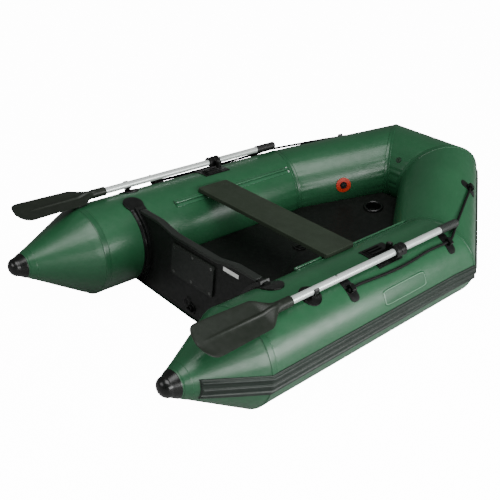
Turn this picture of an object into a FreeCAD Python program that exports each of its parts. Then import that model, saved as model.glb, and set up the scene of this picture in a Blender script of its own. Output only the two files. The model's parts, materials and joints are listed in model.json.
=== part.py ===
import FreeCAD, Part
import math
import os

# Inflatable dinghy with a wooden transom, bench seat, air floor and two stowed oars.
# Millimetres.  +X runs to the bow, +Y to port and +Z up.  The origin is under the middle of the
# overall length and beam, on the surface that the tubes rest on.

Vector = FreeCAD.Vector
X, Y, Z = Vector(1, 0, 0), Vector(0, 1, 0), Vector(0, 0, 1)

# ---------------------------------------------------------------- driving dimensions
LENGTH = 2134.0           # over the stern caps and the bow strake
TUBE_R = 180.0            # outer radius of every inflated tube
TUBE_Y = 449.0            # half spacing of the side tubes' axes
FABRIC = 2.0              # drawn thickness of the tube fabric
STRAKE_T, RIB_T = 4.0, 9.0  # how far the strake's base and its ribs stand out
STRAKE_WIDTH = 76.0       # measured round the tube

STERN_X = -LENGTH / 2
CONE_X = STERN_X + 310.0  # seam between the stern cone and the side tube
CONE_RISE = 0.0774        # how much the cone's centre line climbs for each mm aft
CONE_TAPER = 0.523        # how much the cone's radius shrinks for each mm aft
CONE_END_X = STERN_X + 17.0
KNEE = Vector(398, TUBE_Y, TUBE_R)                             # side tube meets bow tube
CORNER = Vector(LENGTH / 2 - TUBE_R - RIB_T, 134.0, 315.5)     # bow tube meets cross tube

TRANSOM_X = STERN_X + 516.0    # aft face of the transom board
TRANSOM_T = 25.0
TRANSOM_TOP, TRANSOM_BOTTOM = 350.0, 32.0
NOTCH_HALF, NOTCH_DEPTH = 120.0, 20.0
MOTOR_PLATE = (8.0, 240.0, 130.0)  # thickness, width, height
MOTOR_PLATE_Z = 235.0

FLOOR_TOP, FLOOR_T = 140.0, 50.0
FLOOR_AFT = TRANSOM_X + TRANSOM_T + 3
KEEL_R = 30.0
BOTTOM_T = 2.5

SEAT_X = -141.0           # middle of the bench as stored
SEAT_LENGTH, SEAT_WIDTH, SEAT_T, SEAT_TOP = 732.0, 165.0, 16.0, 357.0
RAIL_X0, RAIL_X1 = -365.0, 322.0
RAIL_PHI0, RAIL_PHI1 = 121.0, 132.0
BEAD_R = 4.5

OAR_Y, OAR_Z = 522.0, 375.0   # axis of a stowed oar
SHAFT_R, SHAFT_WALL = 14.0, 1.5
BLADE_TIP, BLADE_CORNER, BLADE_HEEL, BLADE_NECK = -987.0, -950.0, -735.0, -642.0
BLADE_TIP_HALF, BLADE_HEEL_HALF = 70.0, 62.0
FERRULE_END, SHAFT_JOINT = -592.0, -330.0
GRIP_X0, GRIP_X1 = 278.0, 399.0
PIN_Y, PIN_R = 482.0, 5.0
COLLAR_HALF, COLLAR_R = 30.0, 22.0
CLIP_X = -477.0

ROPE_D = 11.0
ROPE_R = ROPE_D / 2
LOOP_RADIUS = TUBE_R + ROPE_R + 3.0   # from a tube's axis to the line in a loop
LOOP_HOLE_R = ROPE_R + 2.9
RUN_CLEARANCE = 0.05      # radial clearance of a running fit
SKIN_GAP = 0.4            # gap kept between curved faces of different pieces

os.makedirs("parts", exist_ok=True)


# ---------------------------------------------------------------- helpers
def save(name, *shapes):
    """Write one node, made of one or more separate solids."""
    solids = [s for shape in shapes for s in shape.Solids]
    result = solids[0] if len(solids) == 1 else Part.makeCompound(solids)
    if not result.isValid():
        print("INVALID", name)
    result.exportStep("parts/%s.step" % name)


def mirrored(shape):
    """The starboard twin of a port shape."""
    return shape.mirror(Vector(0, 0, 0), Y)


def save_pair(name, shape):
    """Write a port node and its starboard twin."""
    save("port_" + name, shape)
    save("starboard_" + name, mirrored(shape))


def polar(radius, degrees, x=0.0):
    """A point at an angle round the X axis, from +Y towards +Z."""
    a = math.radians(degrees)
    return Vector(x, radius * math.cos(a), radius * math.sin(a))


def polygon(points):
    return Part.Wire(Part.makePolygon(points + [points[0]]).Edges)


def slab(points, direction):
    """A prism on a closed outline."""
    return Part.Face(polygon(points)).extrude(direction)


def sector_wire(r_in, r_out, phi0, phi1, x=0.0, dz=0.0):
    """Outline of a piece of a ring round the X axis, lifted by dz."""
    mid = (phi0 + phi1) / 2
    lift = Vector(0, 0, dz)
    a, b, c = (polar(r_out, p, x) + lift for p in (phi0, mid, phi1))
    d, e, f = (polar(r_in, p, x) + lift for p in (phi1, mid, phi0))
    edges = [Part.Arc(a, b, c).toShape(), Part.LineSegment(c, d).toShape(),
             Part.Arc(d, e, f).toShape(), Part.LineSegment(f, a).toShape()]
    return Part.Wire(edges)


def sector(r_in, r_out, phi0, phi1, x0, x1):
    """A piece of a ring round the X axis from x0 to x1."""
    return Part.Face(sector_wire(r_in, r_out, phi0, phi1, x0)).extrude(X * (x1 - x0))


def ring(r_in, r_out, x0, x1):
    """A tube round the X axis."""
    outer = Part.makeCylinder(r_out, x1 - x0, Vector(x0, 0, 0), X)
    return outer.cut(Part.makeCylinder(r_in, x1 - x0 + 2, Vector(x0 - 1, 0, 0), X))


def revolved(points, origin, axis):
    """Turn a closed outline about an axis."""
    return Part.Face(polygon(points)).revolve(origin, axis, 360)


def rounded_box(dx, dy, z0, z1, radius):
    """An upright box centred on Z with rounded corners in plan."""
    box = Part.makeBox(dx, dy, z1 - z0, Vector(-dx / 2, -dy / 2, z0))
    upright = [e for e in box.Edges if abs(e.Vertexes[0].Z - e.Vertexes[-1].Z) > (z1 - z0) / 2]
    return box.makeFillet(radius, upright)


def clipped(shape, point, normal):
    """Keep the side of a plane that its normal points away from."""
    size = 3000.0
    block = Part.makeBox(size, size, size, Vector(-size / 2, -size / 2, 0))
    block.Placement = FreeCAD.Placement(point, FreeCAD.Rotation(Z, normal))
    return shape.cut(block)


class Segment:
    """One straight tube.  Local X is its axis, local Y points outboard and local Z up."""

    def __init__(self, start, end):
        self.start = start
        self.length = (end - start).Length
        self.ex = (end - start).normalize()
        self.ey = Z.cross(self.ex).normalize()
        self.ez = self.ex.cross(self.ey)

    def place(self, shape):
        """Move a shape from the local frame to the boat's."""
        m = FreeCAD.Matrix(self.ex.x, self.ey.x, self.ez.x, self.start.x,
                           self.ex.y, self.ey.y, self.ez.y, self.start.y,
                           self.ex.z, self.ey.z, self.ez.z, self.start.z, 0, 0, 0, 1)
        moved = shape.copy()
        moved.Placement = FreeCAD.Placement(m)
        return moved

    def point(self, x, radius, phi):
        """A point on or above the tube."""
        p = polar(radius, phi, x)
        return self.start + self.ex * p.x + self.ey * p.y + self.ez * p.z

    def radial(self, shape, x, phi):
        """Stand a shape built along +Z on the tube at x and phi."""
        turned = shape.copy()
        turned.translate(Vector(x, 0, 0))
        turned.rotate(Vector(0, 0, 0), X, phi - 90)
        baked = Part.makeCompound([turned]).copy()
        return self.place(baked)

    def patch(self, footprint, thickness, x, phi):
        """A footprint wrapped on the tube, as thick as stated."""
        spread = 60
        skin = sector(TUBE_R, TUBE_R + thickness, 90 - spread, 90 + spread, -200, 200)
        return self.radial(footprint.common(skin), x, phi)


side = Segment(Vector(CONE_X, TUBE_Y, TUBE_R), KNEE)
bow = Segment(KNEE, CORNER)
front = Segment(CORNER, Vector(CORNER.x, -CORNER.y, CORNER.z))
KNEE_CUT = (side.ex + bow.ex).normalize()
CORNER_CUT = (bow.ex + front.ex).normalize()


def between_mitres(shape, segment):
    """Trim a shape that runs along a segment to its mitre planes."""
    if segment is side:
        return clipped(shape, KNEE, KNEE_CUT)
    if segment is bow:
        return clipped(clipped(shape, CORNER, CORNER_CUT), KNEE, KNEE_CUT * -1)
    half = clipped(shape, CORNER, CORNER_CUT * -1)
    twin_cut = Vector(-CORNER_CUT.x, CORNER_CUT.y, -CORNER_CUT.z)
    return clipped(half, front.start + front.ex * front.length, twin_cut)


def run_along(segment, wire, overrun=260):
    """Sweep a section along a whole segment and mitre its ends."""
    start = 0 if segment is side else -overrun
    face = Part.Face(wire)
    face.translate(X * start)
    body = face.extrude(X * (segment.length - start + overrun))
    return between_mitres(segment.place(body), segment)


# ---------------------------------------------------------------- tubes
def cone_section(aft, shrink=0.0):
    """Circle of the stern cone at a distance aft of its seam, in the side tube's frame."""
    centre = Vector(-aft, 0, aft * CONE_RISE)
    circle = Part.Circle(centre, X, TUBE_R - CONE_TAPER * aft - shrink)
    return Part.Wire(circle.toShape())


def cone_solid(shrink=0.0, end=CONE_X - CONE_END_X):
    return Part.makeLoft([cone_section(0, shrink), cone_section(end - shrink, shrink)], True, True)


def tube_piece(segment):
    """Fabric tube of one segment between its seams."""
    outer = Part.Wire(Part.Circle(Vector(0, 0, 0), X, TUBE_R).toShape())
    inner = Part.Wire(Part.Circle(Vector(0, 0, 0), X, TUBE_R - FABRIC).toShape())
    return run_along(segment, outer).cut(run_along(segment, inner))


cone = side.place(cone_solid())
cone_shell = cone.cut(side.place(cone_solid(FABRIC)))
side_tube = tube_piece(side).fuse(cone_shell).removeSplitter()

VALVE_HOLE_R = 16.0
valve_at = (bow.length * 0.47, 173.0)  # along the bow tube, and round it
valve_hole = bow.radial(Part.makeCylinder(VALVE_HOLE_R, 60, Vector(0, 0, TUBE_R - 30)), *valve_at)
bow_tube = tube_piece(bow)
front_tube = tube_piece(front)
save_pair("side_tube", side_tube)
save("port_bow_tube", bow_tube.cut(valve_hole))
save("starboard_bow_tube", mirrored(bow_tube))
save("bow_cross_tube", front_tube)

# Bulkheads: fabric discs inside the knees that part the chambers.
disc = Part.makeCylinder(TUBE_R - FABRIC - SKIN_GAP, 3, Vector(0, 0, 0), X)
bulkhead = side.place(disc)
bulkhead.translate(X * (side.length - 140))
save("chamber_bulkheads", bulkhead, mirrored(bulkhead))

# Stern caps: moulded cups over the ends of the cones.
CAP_LENGTH = 57.0
cap_axis = Vector(-1, 0, CONE_RISE).normalize()
cap_base = side.start + Vector(-(CONE_X - STERN_X - CAP_LENGTH), 0,
                               (CONE_X - STERN_X - CAP_LENGTH) * CONE_RISE)
cap_r = TUBE_R - CONE_TAPER * (CONE_X - STERN_X - CAP_LENGTH) + 2.5
across = cap_axis.cross(Y).normalize()
CAP_ROUND = 27.0
straight = CAP_LENGTH - CAP_ROUND
cap_profile = [cap_base, cap_base + across * cap_r,
               cap_base + across * (cap_r - CONE_TAPER * straight) + cap_axis * straight]
round_r = cap_r - CONE_TAPER * straight
for step in range(1, 7):
    a = math.radians(15 * step)
    cap_profile.append(cap_base + cap_axis * (straight + CAP_ROUND * math.sin(a))
                       + across * (round_r * math.cos(a)))
stern_cap = revolved(cap_profile, cap_base, cap_axis).cut(cone)
save("stern_caps", stern_cap, mirrored(stern_cap))


# ---------------------------------------------------------------- rubbing strake
def strake_parts(radius, x, dz):
    """Outlines of the strake's base and three ribs at one station, as angles of equal width."""
    def degrees(arc):
        return math.degrees(arc / radius)
    half = degrees(STRAKE_WIDTH / 2)
    wires = [sector_wire(radius, radius + STRAKE_T, -half, half, x, dz)]
    for centre in (-24.0, 0.0, 24.0):
        c, w = degrees(centre), degrees(6.0)
        wires.append(sector_wire(radius + 1, radius + RIB_T, c - w, c + w, x, dz))
    return wires


STRAKE_AFT = 205.0  # length of the strake on the stern cone


def fused(shapes):
    return shapes[0].multiFuse(shapes[1:]).removeSplitter()


cone_r = TUBE_R - CONE_TAPER * STRAKE_AFT
aft_wires = strake_parts(cone_r, -STRAKE_AFT, STRAKE_AFT * CONE_RISE)
near_wires = strake_parts(TUBE_R, 0, 0)
strake_cone = fused([Part.makeLoft([n, a], True, True) for n, a in zip(near_wires, aft_wires)])
strake_cone = side.place(strake_cone).cut(cone)
strake_side = fused([run_along(side, w) for w in near_wires])
strake_bow = fused([run_along(bow, w) for w in near_wires])
strake_front = fused([run_along(front, w) for w in near_wires])
side_strake = strake_side.fuse(strake_cone).removeSplitter()
save("side_strakes", side_strake, mirrored(side_strake))
save("bow_strakes", strake_bow, strake_front, mirrored(strake_bow))

# Seam tapes: bands welded over the joints of the tubes, stopped at the strake.
TAPE_HALF, TAPE_T = 13.0, 1.0


def tape_wire(phi0, phi1):
    return sector_wire(TUBE_R, TUBE_R + TAPE_T, phi0, phi1)


TAPE_FROM = math.degrees(STRAKE_WIDTH / 2 / TUBE_R) + 0.5
TAPE_SPAN = (TAPE_FROM, 360 - TAPE_FROM)


def near_plane(shape, point, normal, distance):
    """Keep the slice of a shape within a distance of a plane."""
    upper = clipped(shape, point + normal * distance, normal)
    return clipped(upper, point - normal * distance, normal * -1)


def half_tape(segment, point, normal):
    return near_plane(run_along(segment, tape_wire(*TAPE_SPAN)), point, normal, TAPE_HALF)


knee_tape = half_tape(side, KNEE, KNEE_CUT).fuse(half_tape(bow, KNEE, KNEE_CUT)).removeSplitter()
corner_tape = half_tape(bow, CORNER, CORNER_CUT).fuse(half_tape(front, CORNER, CORNER_CUT))
corner_tape = corner_tape.removeSplitter()
cone_tape = side.place(sector(TUBE_R, TUBE_R + TAPE_T, *TAPE_SPAN, 0, 2 * TAPE_HALF))

# ---------------------------------------------------------------- transom
HOLDER_T, HOLDER_LIP = 4.0, 20.0  # the holder's skirt on the tube, and its lips beside the board
board_end = TRANSOM_X + TRANSOM_T
top_y = 392.0
step_y = 215.0
outline = [Vector(0, -top_y, TRANSOM_TOP), Vector(0, -step_y, TRANSOM_TOP),
           Vector(0, -NOTCH_HALF, TRANSOM_TOP - NOTCH_DEPTH),
           Vector(0, NOTCH_HALF, TRANSOM_TOP - NOTCH_DEPTH), Vector(0, step_y, TRANSOM_TOP),
           Vector(0, top_y, TRANSOM_TOP), Vector(0, 372, TRANSOM_BOTTOM + 2),
           Vector(0, 0, TRANSOM_BOTTOM - 6), Vector(0, -372, TRANSOM_BOTTOM + 2)]
board = slab([p + X * TRANSOM_X for p in outline], X * TRANSOM_T)
inset = TUBE_R + HOLDER_T
for sign in (1, -1):
    board = board.cut(Part.makeCylinder(inset, 200, Vector(TRANSOM_X - 50, sign * TUBE_Y, TUBE_R), X))

plate_t, plate_w, plate_h = MOTOR_PLATE
plate = rounded_box(plate_w, plate_h, 0, plate_t, 10)
plate.rotate(Vector(0, 0, 0), Vector(1, 1, 1), 120)  # plan X to Y, plan Y to Z, height to X
plate = Part.makeCompound([plate]).copy()
outer_plate = plate.copy()
outer_plate.translate(Vector(TRANSOM_X - plate_t, 0, MOTOR_PLATE_Z))
inner_pad = plate.copy()
inner_pad.translate(Vector(board_end, 0, MOTOR_PLATE_Z))

# Screws: countersunk heads flush with the outer plate, and nuts sunk flush in the inner pad.
SCREW_R, HEAD_R, HEAD_T, NUT_R, NUT_T = 3.0, 6.5, 3.0, 6.0, 5.0
SCREW_DY, SCREW_DZ = 105.0, 52.0
SCREW_SLOT = (1.2, 9.0, 1.4)  # depth, length and width of the slot in a head
screw_span = TRANSOM_T + 2 * plate_t


def sunk_screw(y, z):
    """One screw through the stack, without its slot."""
    at = Vector(TRANSOM_X - plate_t, y, z)
    return fused([Part.makeCylinder(SCREW_R, screw_span, at, X), Part.makeCylinder(HEAD_R, HEAD_T, at, X),
                  Part.makeCylinder(NUT_R, NUT_T, at + X * (screw_span - NUT_T), X)])


places = [(y, MOTOR_PLATE_Z + dz) for y in (-SCREW_DY, 0.0, SCREW_DY) for dz in (-SCREW_DZ, SCREW_DZ)]
holes = Part.makeCompound([sunk_screw(y, z) for y, z in places])
outer_plate = outer_plate.cut(holes)
inner_pad = inner_pad.cut(holes)
board = board.cut(holes)
slot_d, slot_l, slot_w = SCREW_SLOT
screws = [sunk_screw(y, z).cut(Part.makeBox(slot_d, slot_l, slot_w,
                                            Vector(TRANSOM_X - plate_t, y - slot_l / 2, z - slot_w / 2)))
          for y, z in places]
save("outer_motor_plate", outer_plate)
save("inner_motor_pad", inner_pad)
save("motor_plate_screws", *screws)

# Drain: a flanged socket through the board, and a bung that pulls out aft.
DRAIN_Z, DRAIN_R, BUNG_R = 60.0, 15.0, 11.0
drain_at = Vector(TRANSOM_X, 0, DRAIN_Z)
board = board.cut(Part.makeCylinder(DRAIN_R, TRANSOM_T, drain_at, X))
save("transom_board", board)
socket = Part.makeCylinder(24, 4, drain_at - X * 4, X)
socket = socket.fuse(Part.makeCylinder(DRAIN_R, TRANSOM_T, drain_at, X)).removeSplitter()
socket = socket.cut(Part.makeCylinder(BUNG_R, TRANSOM_T + 10, drain_at - X * 5, X))
save("drain_socket", socket)
LEASH_T = 1.6
bung = Part.makeCylinder(BUNG_R - RUN_CLEARANCE, 26, drain_at - X * 6.4, X)
bung = bung.fuse(Part.makeCylinder(16, 7, drain_at - X * 13.4, X))
bung = bung.fuse(Part.makeBox(5, 26, 7, drain_at + Vector(-17.4, -13, -3.5))).removeSplitter()
save("drain_bung", bung)
eye, loop = ring(11.6, 17, 0, LEASH_T), ring(14, 19, 0, LEASH_T)
loop.translate(Vector(0, 22, 22))
leash = eye.fuse(loop).removeSplitter().cut(Part.makeCylinder(11.6, 9, Vector(-3, 0, 0), X))
leash = leash.cut(Part.makeCylinder(14, 9, Vector(-3, 22, 22), X))
leash.translate(drain_at - X * (4.2 + LEASH_T))
save("drain_leash", leash)

data_plate = rounded_box(80, 16, 0, 0.8, 2)
data_plate.rotate(Vector(0, 0, 0), Vector(1, 1, 1), 120)
data_plate = Part.makeCompound([data_plate]).copy()
data_plate.translate(Vector(TRANSOM_X - 0.8, -202, 316))
save("blank_data_plate", data_plate)

# Holders: mouldings welded to the tubes that grip the board's two ends.
GRIP_WALL = 10.0
hx0 = TRANSOM_X - GRIP_WALL - side.start.x
hx1 = board_end + GRIP_WALL - side.start.x
PAD_PHI = 108.0
holder = sector(TUBE_R, TUBE_R + HOLDER_LIP, 118, 224, hx0, hx1)
holder = holder.fuse(sector(TUBE_R, TUBE_R + HOLDER_T - SKIN_GAP, 104, 224, hx0 - 14, hx1 + 14))
slot = Part.makeBox(TRANSOM_T, 200, 600, Vector(TRANSOM_X - side.start.x, -400, -300))
slot = slot.cut(Part.makeCylinder(inset, 400, Vector(-100, 0, 0), X))
holder = side.place(holder.cut(slot))
pad = Part.makeCylinder(43, 300, Vector(0, 0, 0), Z)
holder = holder.fuse(side.patch(pad, 6, TRANSOM_X + 10 - side.start.x, PAD_PHI)).cut(board)
save("transom_holders", holder, mirrored(holder))

# ---------------------------------------------------------------- floor
SLOPE = (CORNER.z - KNEE.z) / (CORNER.x - KNEE.x)
FLOOR_SLOPE = 0.22
FLOOR_BEND, FLOOR_END = 330.0, 700.0


def side_profile(y, bottom_aft, bottom_fore, top_aft, top_fore, inset):
    """Outline in the X-Z plane of a floor that is level aft and climbs forward."""
    aft, fore = FLOOR_AFT + inset, FLOOR_END - inset
    return [Vector(aft, y, bottom_aft), Vector(FLOOR_BEND, y, bottom_aft),
            Vector(fore, y, bottom_fore), Vector(fore, y, top_fore),
            Vector(FLOOR_BEND, y, top_aft), Vector(aft, y, top_aft)]


FLOOR_HALF = 268.0
FLOOR_WALL = 3.0


def floor_solid(inset):
    """The air floor's outer form, shrunk all round by an inset."""
    rise = FLOOR_SLOPE * (FLOOR_END - FLOOR_BEND)
    low, high, half = FLOOR_TOP - FLOOR_T + inset, FLOOR_TOP - inset, FLOOR_HALF - inset
    body = slab(side_profile(-half, low, low + rise, high, high + rise, inset), Y * 2 * half)
    for segment in (bow, front):
        circle = Part.Circle(Vector(0, 0, 0), X, TUBE_R + 2 + inset)
        tube = run_along(segment, Part.Wire(circle.toShape()))
        body = body.cut(tube).cut(mirrored(tube))
    for sign in (1, -1):
        body = body.cut(Part.makeCylinder(TUBE_R + HOLDER_LIP + 1 + inset, 100,
                                          Vector(FLOOR_AFT - 50 + inset, sign * TUBE_Y, TUBE_R), X))
    return body


floor = floor_solid(0)

KEEL_VALVE_X = 575.0
DECK_TILT = math.degrees(math.atan(FLOOR_SLOPE))


def on_deck(shape, x):
    """Stand a shape built on the X-Y plane on the floor's upper face."""
    moved = shape.copy()
    climb = max(0.0, x - FLOOR_BEND) * FLOOR_SLOPE
    if x > FLOOR_BEND:
        moved.rotate(Vector(0, 0, 0), Y, -DECK_TILT)
    moved.translate(Vector(x, 0, FLOOR_TOP + climb))
    return Part.makeCompound([moved]).copy()


# Keel valve: it stands in a round well through the floor, with a padded collar round the well.
WELL_R, POCKET_R = 32.0, 16.0
FLOOR_VALVE_X = 60.0


def floor_holes(margin):
    """The keel valve's well and the floor valve's pocket, with a margin of wall round them."""
    well = Part.makeCylinder(WELL_R + margin, 200, Vector(0, 0, -100))
    pocket = Part.makeCylinder(POCKET_R + margin, 60, Vector(0, 0, -25 - margin))
    return [on_deck(well, KEEL_VALVE_X), on_deck(pocket, FLOOR_VALVE_X)]


chamber = floor_solid(FLOOR_WALL)
for hole in floor_holes(FLOOR_WALL):
    chamber = chamber.cut(hole)
floor = floor.cut(chamber)
for hole in floor_holes(0):
    floor = floor.cut(hole)
save("air_floor", floor)

collar = Part.makeTorus(40, 7.5, Vector(0, 0, 0), Z)
collar = clipped(collar, Vector(0, 0, 0), Z * -1)
save("keel_valve_collar", on_deck(collar, KEEL_VALVE_X))


def valve(flange_r, flange_t, stem_r, stem_depth):
    """Valve body with a bayonet socket for its cap."""
    body = Part.makeCylinder(flange_r, flange_t, Vector(0, 0, 0))
    body = body.makeFillet(flange_t * 0.4, [e for e in body.Edges
                                            if abs(e.CenterOfMass.z - flange_t) < 1e-6
                                            and e.Closed])
    body = body.fuse(Part.makeCylinder(stem_r, stem_depth, Vector(0, 0, -stem_depth)))
    bore = Part.makeCylinder(stem_r - 3, flange_t + stem_depth, Vector(0, 0, -stem_depth + 3))
    return body.removeSplitter().cut(bore)


def valve_cap(stem_r, flange_t, head_r):
    """Cap with a plug that turns in the valve and a finger bar on top."""
    plug = Part.makeCylinder(stem_r - 3 - RUN_CLEARANCE, flange_t + 8, Vector(0, 0, -8))
    head = Part.makeCylinder(head_r, 3, Vector(0, 0, flange_t))
    bar = Part.makeBox(2 * head_r - 8, 4, 4, Vector(4 - head_r, -2, flange_t + 3))
    return plug.fuse(head).fuse(bar).removeSplitter()


save("floor_valve_body", on_deck(valve(30, 5, 16, 24), FLOOR_VALVE_X))
save("floor_valve_cap", on_deck(valve_cap(16, 5, 20), FLOOR_VALVE_X))
keel_valve_low = -26.0
keel_valve = valve(22, 4, 14, 18)
keel_valve.translate(Z * keel_valve_low)
keel_cap = valve_cap(14, 4, 17)
keel_cap.translate(Z * keel_valve_low)
web = Part.makeCylinder(WELL_R - SKIN_GAP, 2, Vector(0, 0, keel_valve_low - 2))
web = web.cut(Part.makeCylinder(14, 10, Vector(0, 0, keel_valve_low - 5)))
save("keel_valve_body", on_deck(keel_valve.fuse(web).removeSplitter(), KEEL_VALVE_X))
save("keel_valve_cap", on_deck(keel_cap, KEEL_VALVE_X))

# Hull bottom: two fabric panels that fall to the centre line, and rise with the bow tubes.
EDGE_Y, EDGE_Z, CENTRE_Z = 359.0, 24.0, 14.0
HULL_END = CORNER.x - 88


def hull_panel():
    """Port half of the hull bottom."""
    lift = Vector(0, 0, BOTTOM_T)
    level = [Vector(TRANSOM_X, 0, CENTRE_Z), Vector(TRANSOM_X, EDGE_Y, EDGE_Z)]
    level_solid = slab([level[0], level[1], level[1] + lift, level[0] + lift],
                       X * (KNEE.x - TRANSOM_X))
    shear = Vector(HULL_END - KNEE.x, 0, SLOPE * (HULL_END - KNEE.x))
    knee = [p + X * (KNEE.x - TRANSOM_X) for p in level]
    ramp = slab([knee[0], knee[1], knee[1] + lift, knee[0] + lift], shear)
    return level_solid.fuse(ramp).removeSplitter()


hull = fused([hull_panel(), mirrored(hull_panel())])
thin_bow = run_along(bow, Part.Wire(Part.Circle(Vector(0, 0, 0), X, TUBE_R).toShape()))
thin_front = run_along(front, Part.Wire(Part.Circle(Vector(0, 0, 0), X, TUBE_R).toShape()))
thin_side = Part.makeCylinder(TUBE_R, KNEE.x - CONE_X, side.start, X)
inner_limit = [Vector(TRANSOM_X - 1, -EDGE_Y - 5, -50), Vector(KNEE.x, -EDGE_Y - 5, -50),
               Vector(KNEE.x + 40, -KNEE.y + 120, -50), Vector(HULL_END, -CORNER.y + 70, -50),
               Vector(HULL_END, CORNER.y - 70, -50), Vector(KNEE.x + 40, KNEE.y - 120, -50),
               Vector(KNEE.x, EDGE_Y + 5, -50), Vector(TRANSOM_X - 1, EDGE_Y + 5, -50)]
hull = hull.common(slab(inner_limit, Z * 600))
for tube in (thin_side, mirrored(thin_side), thin_bow, mirrored(thin_bow), thin_front):
    hull = hull.cut(tube)
save("hull_bottom", hull)
tapes = [tape.cut(hull) for tape in (knee_tape, corner_tape, cone_tape)]
save("seam_tapes", *[t for tape in tapes for t in (tape, mirrored(tape))])

KEEL_Z = 50.0
keel_x0, keel_x1 = FLOOR_AFT + 10, FLOOR_BEND


def capsule(radius):
    """Round-ended tube on the centre line."""
    aft, fore = Vector(keel_x0 + KEEL_R, 0, KEEL_Z), Vector(keel_x1 - KEEL_R, 0, KEEL_Z)
    return fused([Part.makeCylinder(radius, fore.x - aft.x, aft, X),
                  Part.makeSphere(radius, aft), Part.makeSphere(radius, fore)])


save("inflatable_keel", capsule(KEEL_R).cut(capsule(KEEL_R - FABRIC)))

# ---------------------------------------------------------------- tube valves
RED_FLANGE_R = 36.0
RED_FLANGE_T = 4.0
flange = Part.makeCylinder(RED_FLANGE_R, 300, Vector(0, 0, 0)).cut(
    Part.makeCylinder(VALVE_HOLE_R + 1, 400, Vector(0, 0, -50)))
save("valve_flange", bow.patch(flange, RED_FLANGE_T, *valve_at))
stem = Part.makeCylinder(VALVE_HOLE_R, 34, Vector(0, 0, TUBE_R - 30))
stem = stem.cut(Part.makeCylinder(VALVE_HOLE_R - 3, 40, Vector(0, 0, TUBE_R - 27)))
save("valve_body", bow.radial(stem, *valve_at))
cap = Part.makeCylinder(VALVE_HOLE_R - 3 - RUN_CLEARANCE, 15, Vector(0, 0, TUBE_R - 10))
cap = cap.fuse(Part.makeCylinder(VALVE_HOLE_R, 2.5, Vector(0, 0, TUBE_R + 4.2)))
cap = cap.fuse(Part.makeBox(24, 4, 4, Vector(-12, -2, TUBE_R + 6))).removeSplitter()
save("valve_cap", bow.radial(cap, *valve_at))

small = Part.makeCylinder(13, 300, Vector(0, 0, 0))
small_valve = front.patch(small, 3, front.length / 2, 151)
nipple = Part.makeCylinder(6, 7, Vector(0, 0, TUBE_R + 2)).cut(
    Part.makeCylinder(3, 6, Vector(0, 0, TUBE_R + 5)))
small_valve = small_valve.fuse(front.radial(nipple, front.length / 2, 151)).removeSplitter()
save("bow_relief_valve", small_valve)

# ---------------------------------------------------------------- seat
rail = sector(TUBE_R, TUBE_R + 2.5, RAIL_PHI0, RAIL_PHI1, RAIL_X0 - side.start.x,
              RAIL_X1 - side.start.x)
BEAD_PHI, BEAD_RADIUS = 126.0, TUBE_R + 8.0
bead_c = polar(BEAD_RADIUS, BEAD_PHI)
bead = Part.makeCylinder(BEAD_R, RAIL_X1 - RAIL_X0,
                         bead_c + X * (RAIL_X0 - side.start.x), X)
bead_web = sector(TUBE_R + 1, BEAD_RADIUS, BEAD_PHI - 0.5, BEAD_PHI + 0.5,
                  RAIL_X0 - side.start.x, RAIL_X1 - side.start.x)
rail = side.place(fused([rail, bead, bead_web]))
save("seat_rails", rail, mirrored(rail))

seat = rounded_box(SEAT_WIDTH, SEAT_LENGTH, 0, SEAT_T, 12)
seat.translate(Vector(SEAT_X, 0, SEAT_TOP - SEAT_T))
seat = seat.makeFillet(3, [e for e in seat.Edges if abs(e.CenterOfMass.z - SEAT_TOP) < 0.01])
save("seat_board", seat)
CLIP_GAP = 0.8
bead_y, bead_z = TUBE_Y + bead_c.y, TUBE_R + bead_c.z
seat_bottom = SEAT_TOP - SEAT_T
clips = []
for dx in (-48.0, 48.0):
    block = Part.makeBox(34, 24, seat_bottom - bead_z + 6,
                         Vector(SEAT_X + dx - 17, bead_y - 12, bead_z - 6))
    block = block.cut(Part.makeCylinder(BEAD_R + CLIP_GAP, 100,
                                        Vector(SEAT_X + dx - 50, bead_y, bead_z), X))
    gap = sector(TUBE_R, BEAD_RADIUS + 1, BEAD_PHI - 1.3, BEAD_PHI + 1.3,
                 SEAT_X + dx - 50 - side.start.x, SEAT_X + dx + 50 - side.start.x)
    block = block.cut(side.place(gap))
    block = block.cut(Part.makeCylinder(TUBE_R + 2.5 + CLIP_GAP, 200,
                                        Vector(SEAT_X + dx - 60, TUBE_Y, TUBE_R), X))
    block = block.cut(Part.makeBox(100, 60, 30, Vector(SEAT_X + dx - 50, bead_y - 30, seat_bottom)))
    clips += [block, mirrored(block)]
save("seat_slide_clips", *clips)


# ---------------------------------------------------------------- oars and rowlocks
def along_x(shape, x):
    """Put a shape built on the X axis on a stowed oar's axis, to port."""
    moved = shape.copy()
    moved.translate(Vector(x, OAR_Y, OAR_Z))
    return moved


def blade_solid(roll):
    """Blade with a centre rib and a ferrule, turned about the shaft by roll degrees."""
    half = [(BLADE_TIP, 30), (BLADE_TIP + 5, 48), (BLADE_TIP + 17, 63), (BLADE_CORNER, BLADE_TIP_HALF),
            (BLADE_HEEL, BLADE_HEEL_HALF), (BLADE_HEEL + 25, BLADE_HEEL_HALF - 9), (BLADE_NECK, 17)]
    right = [Vector(x, w, -3) for x, w in half]
    left = [Vector(x, -w, -3) for x, w in reversed(half)]
    blade = slab(right + left, Z * 6)
    rib = Part.makeCone(5, SHAFT_R, FERRULE_END - BLADE_TIP - 110,
                        Vector(BLADE_TIP + 60, 0, 0), X)
    socket = Part.makeCylinder(SHAFT_R + 5, FERRULE_END - BLADE_NECK + 20,
                               Vector(BLADE_NECK - 20, 0, 0), X)
    whole = fused([blade, rib, socket])
    whole = whole.cut(Part.makeCylinder(SHAFT_R, 200, Vector(BLADE_NECK + 2, 0, 0), X))
    whole.rotate(Vector(0, 0, 0), X, roll)
    return along_x(Part.makeCompound([whole]).copy(), 0)


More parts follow.
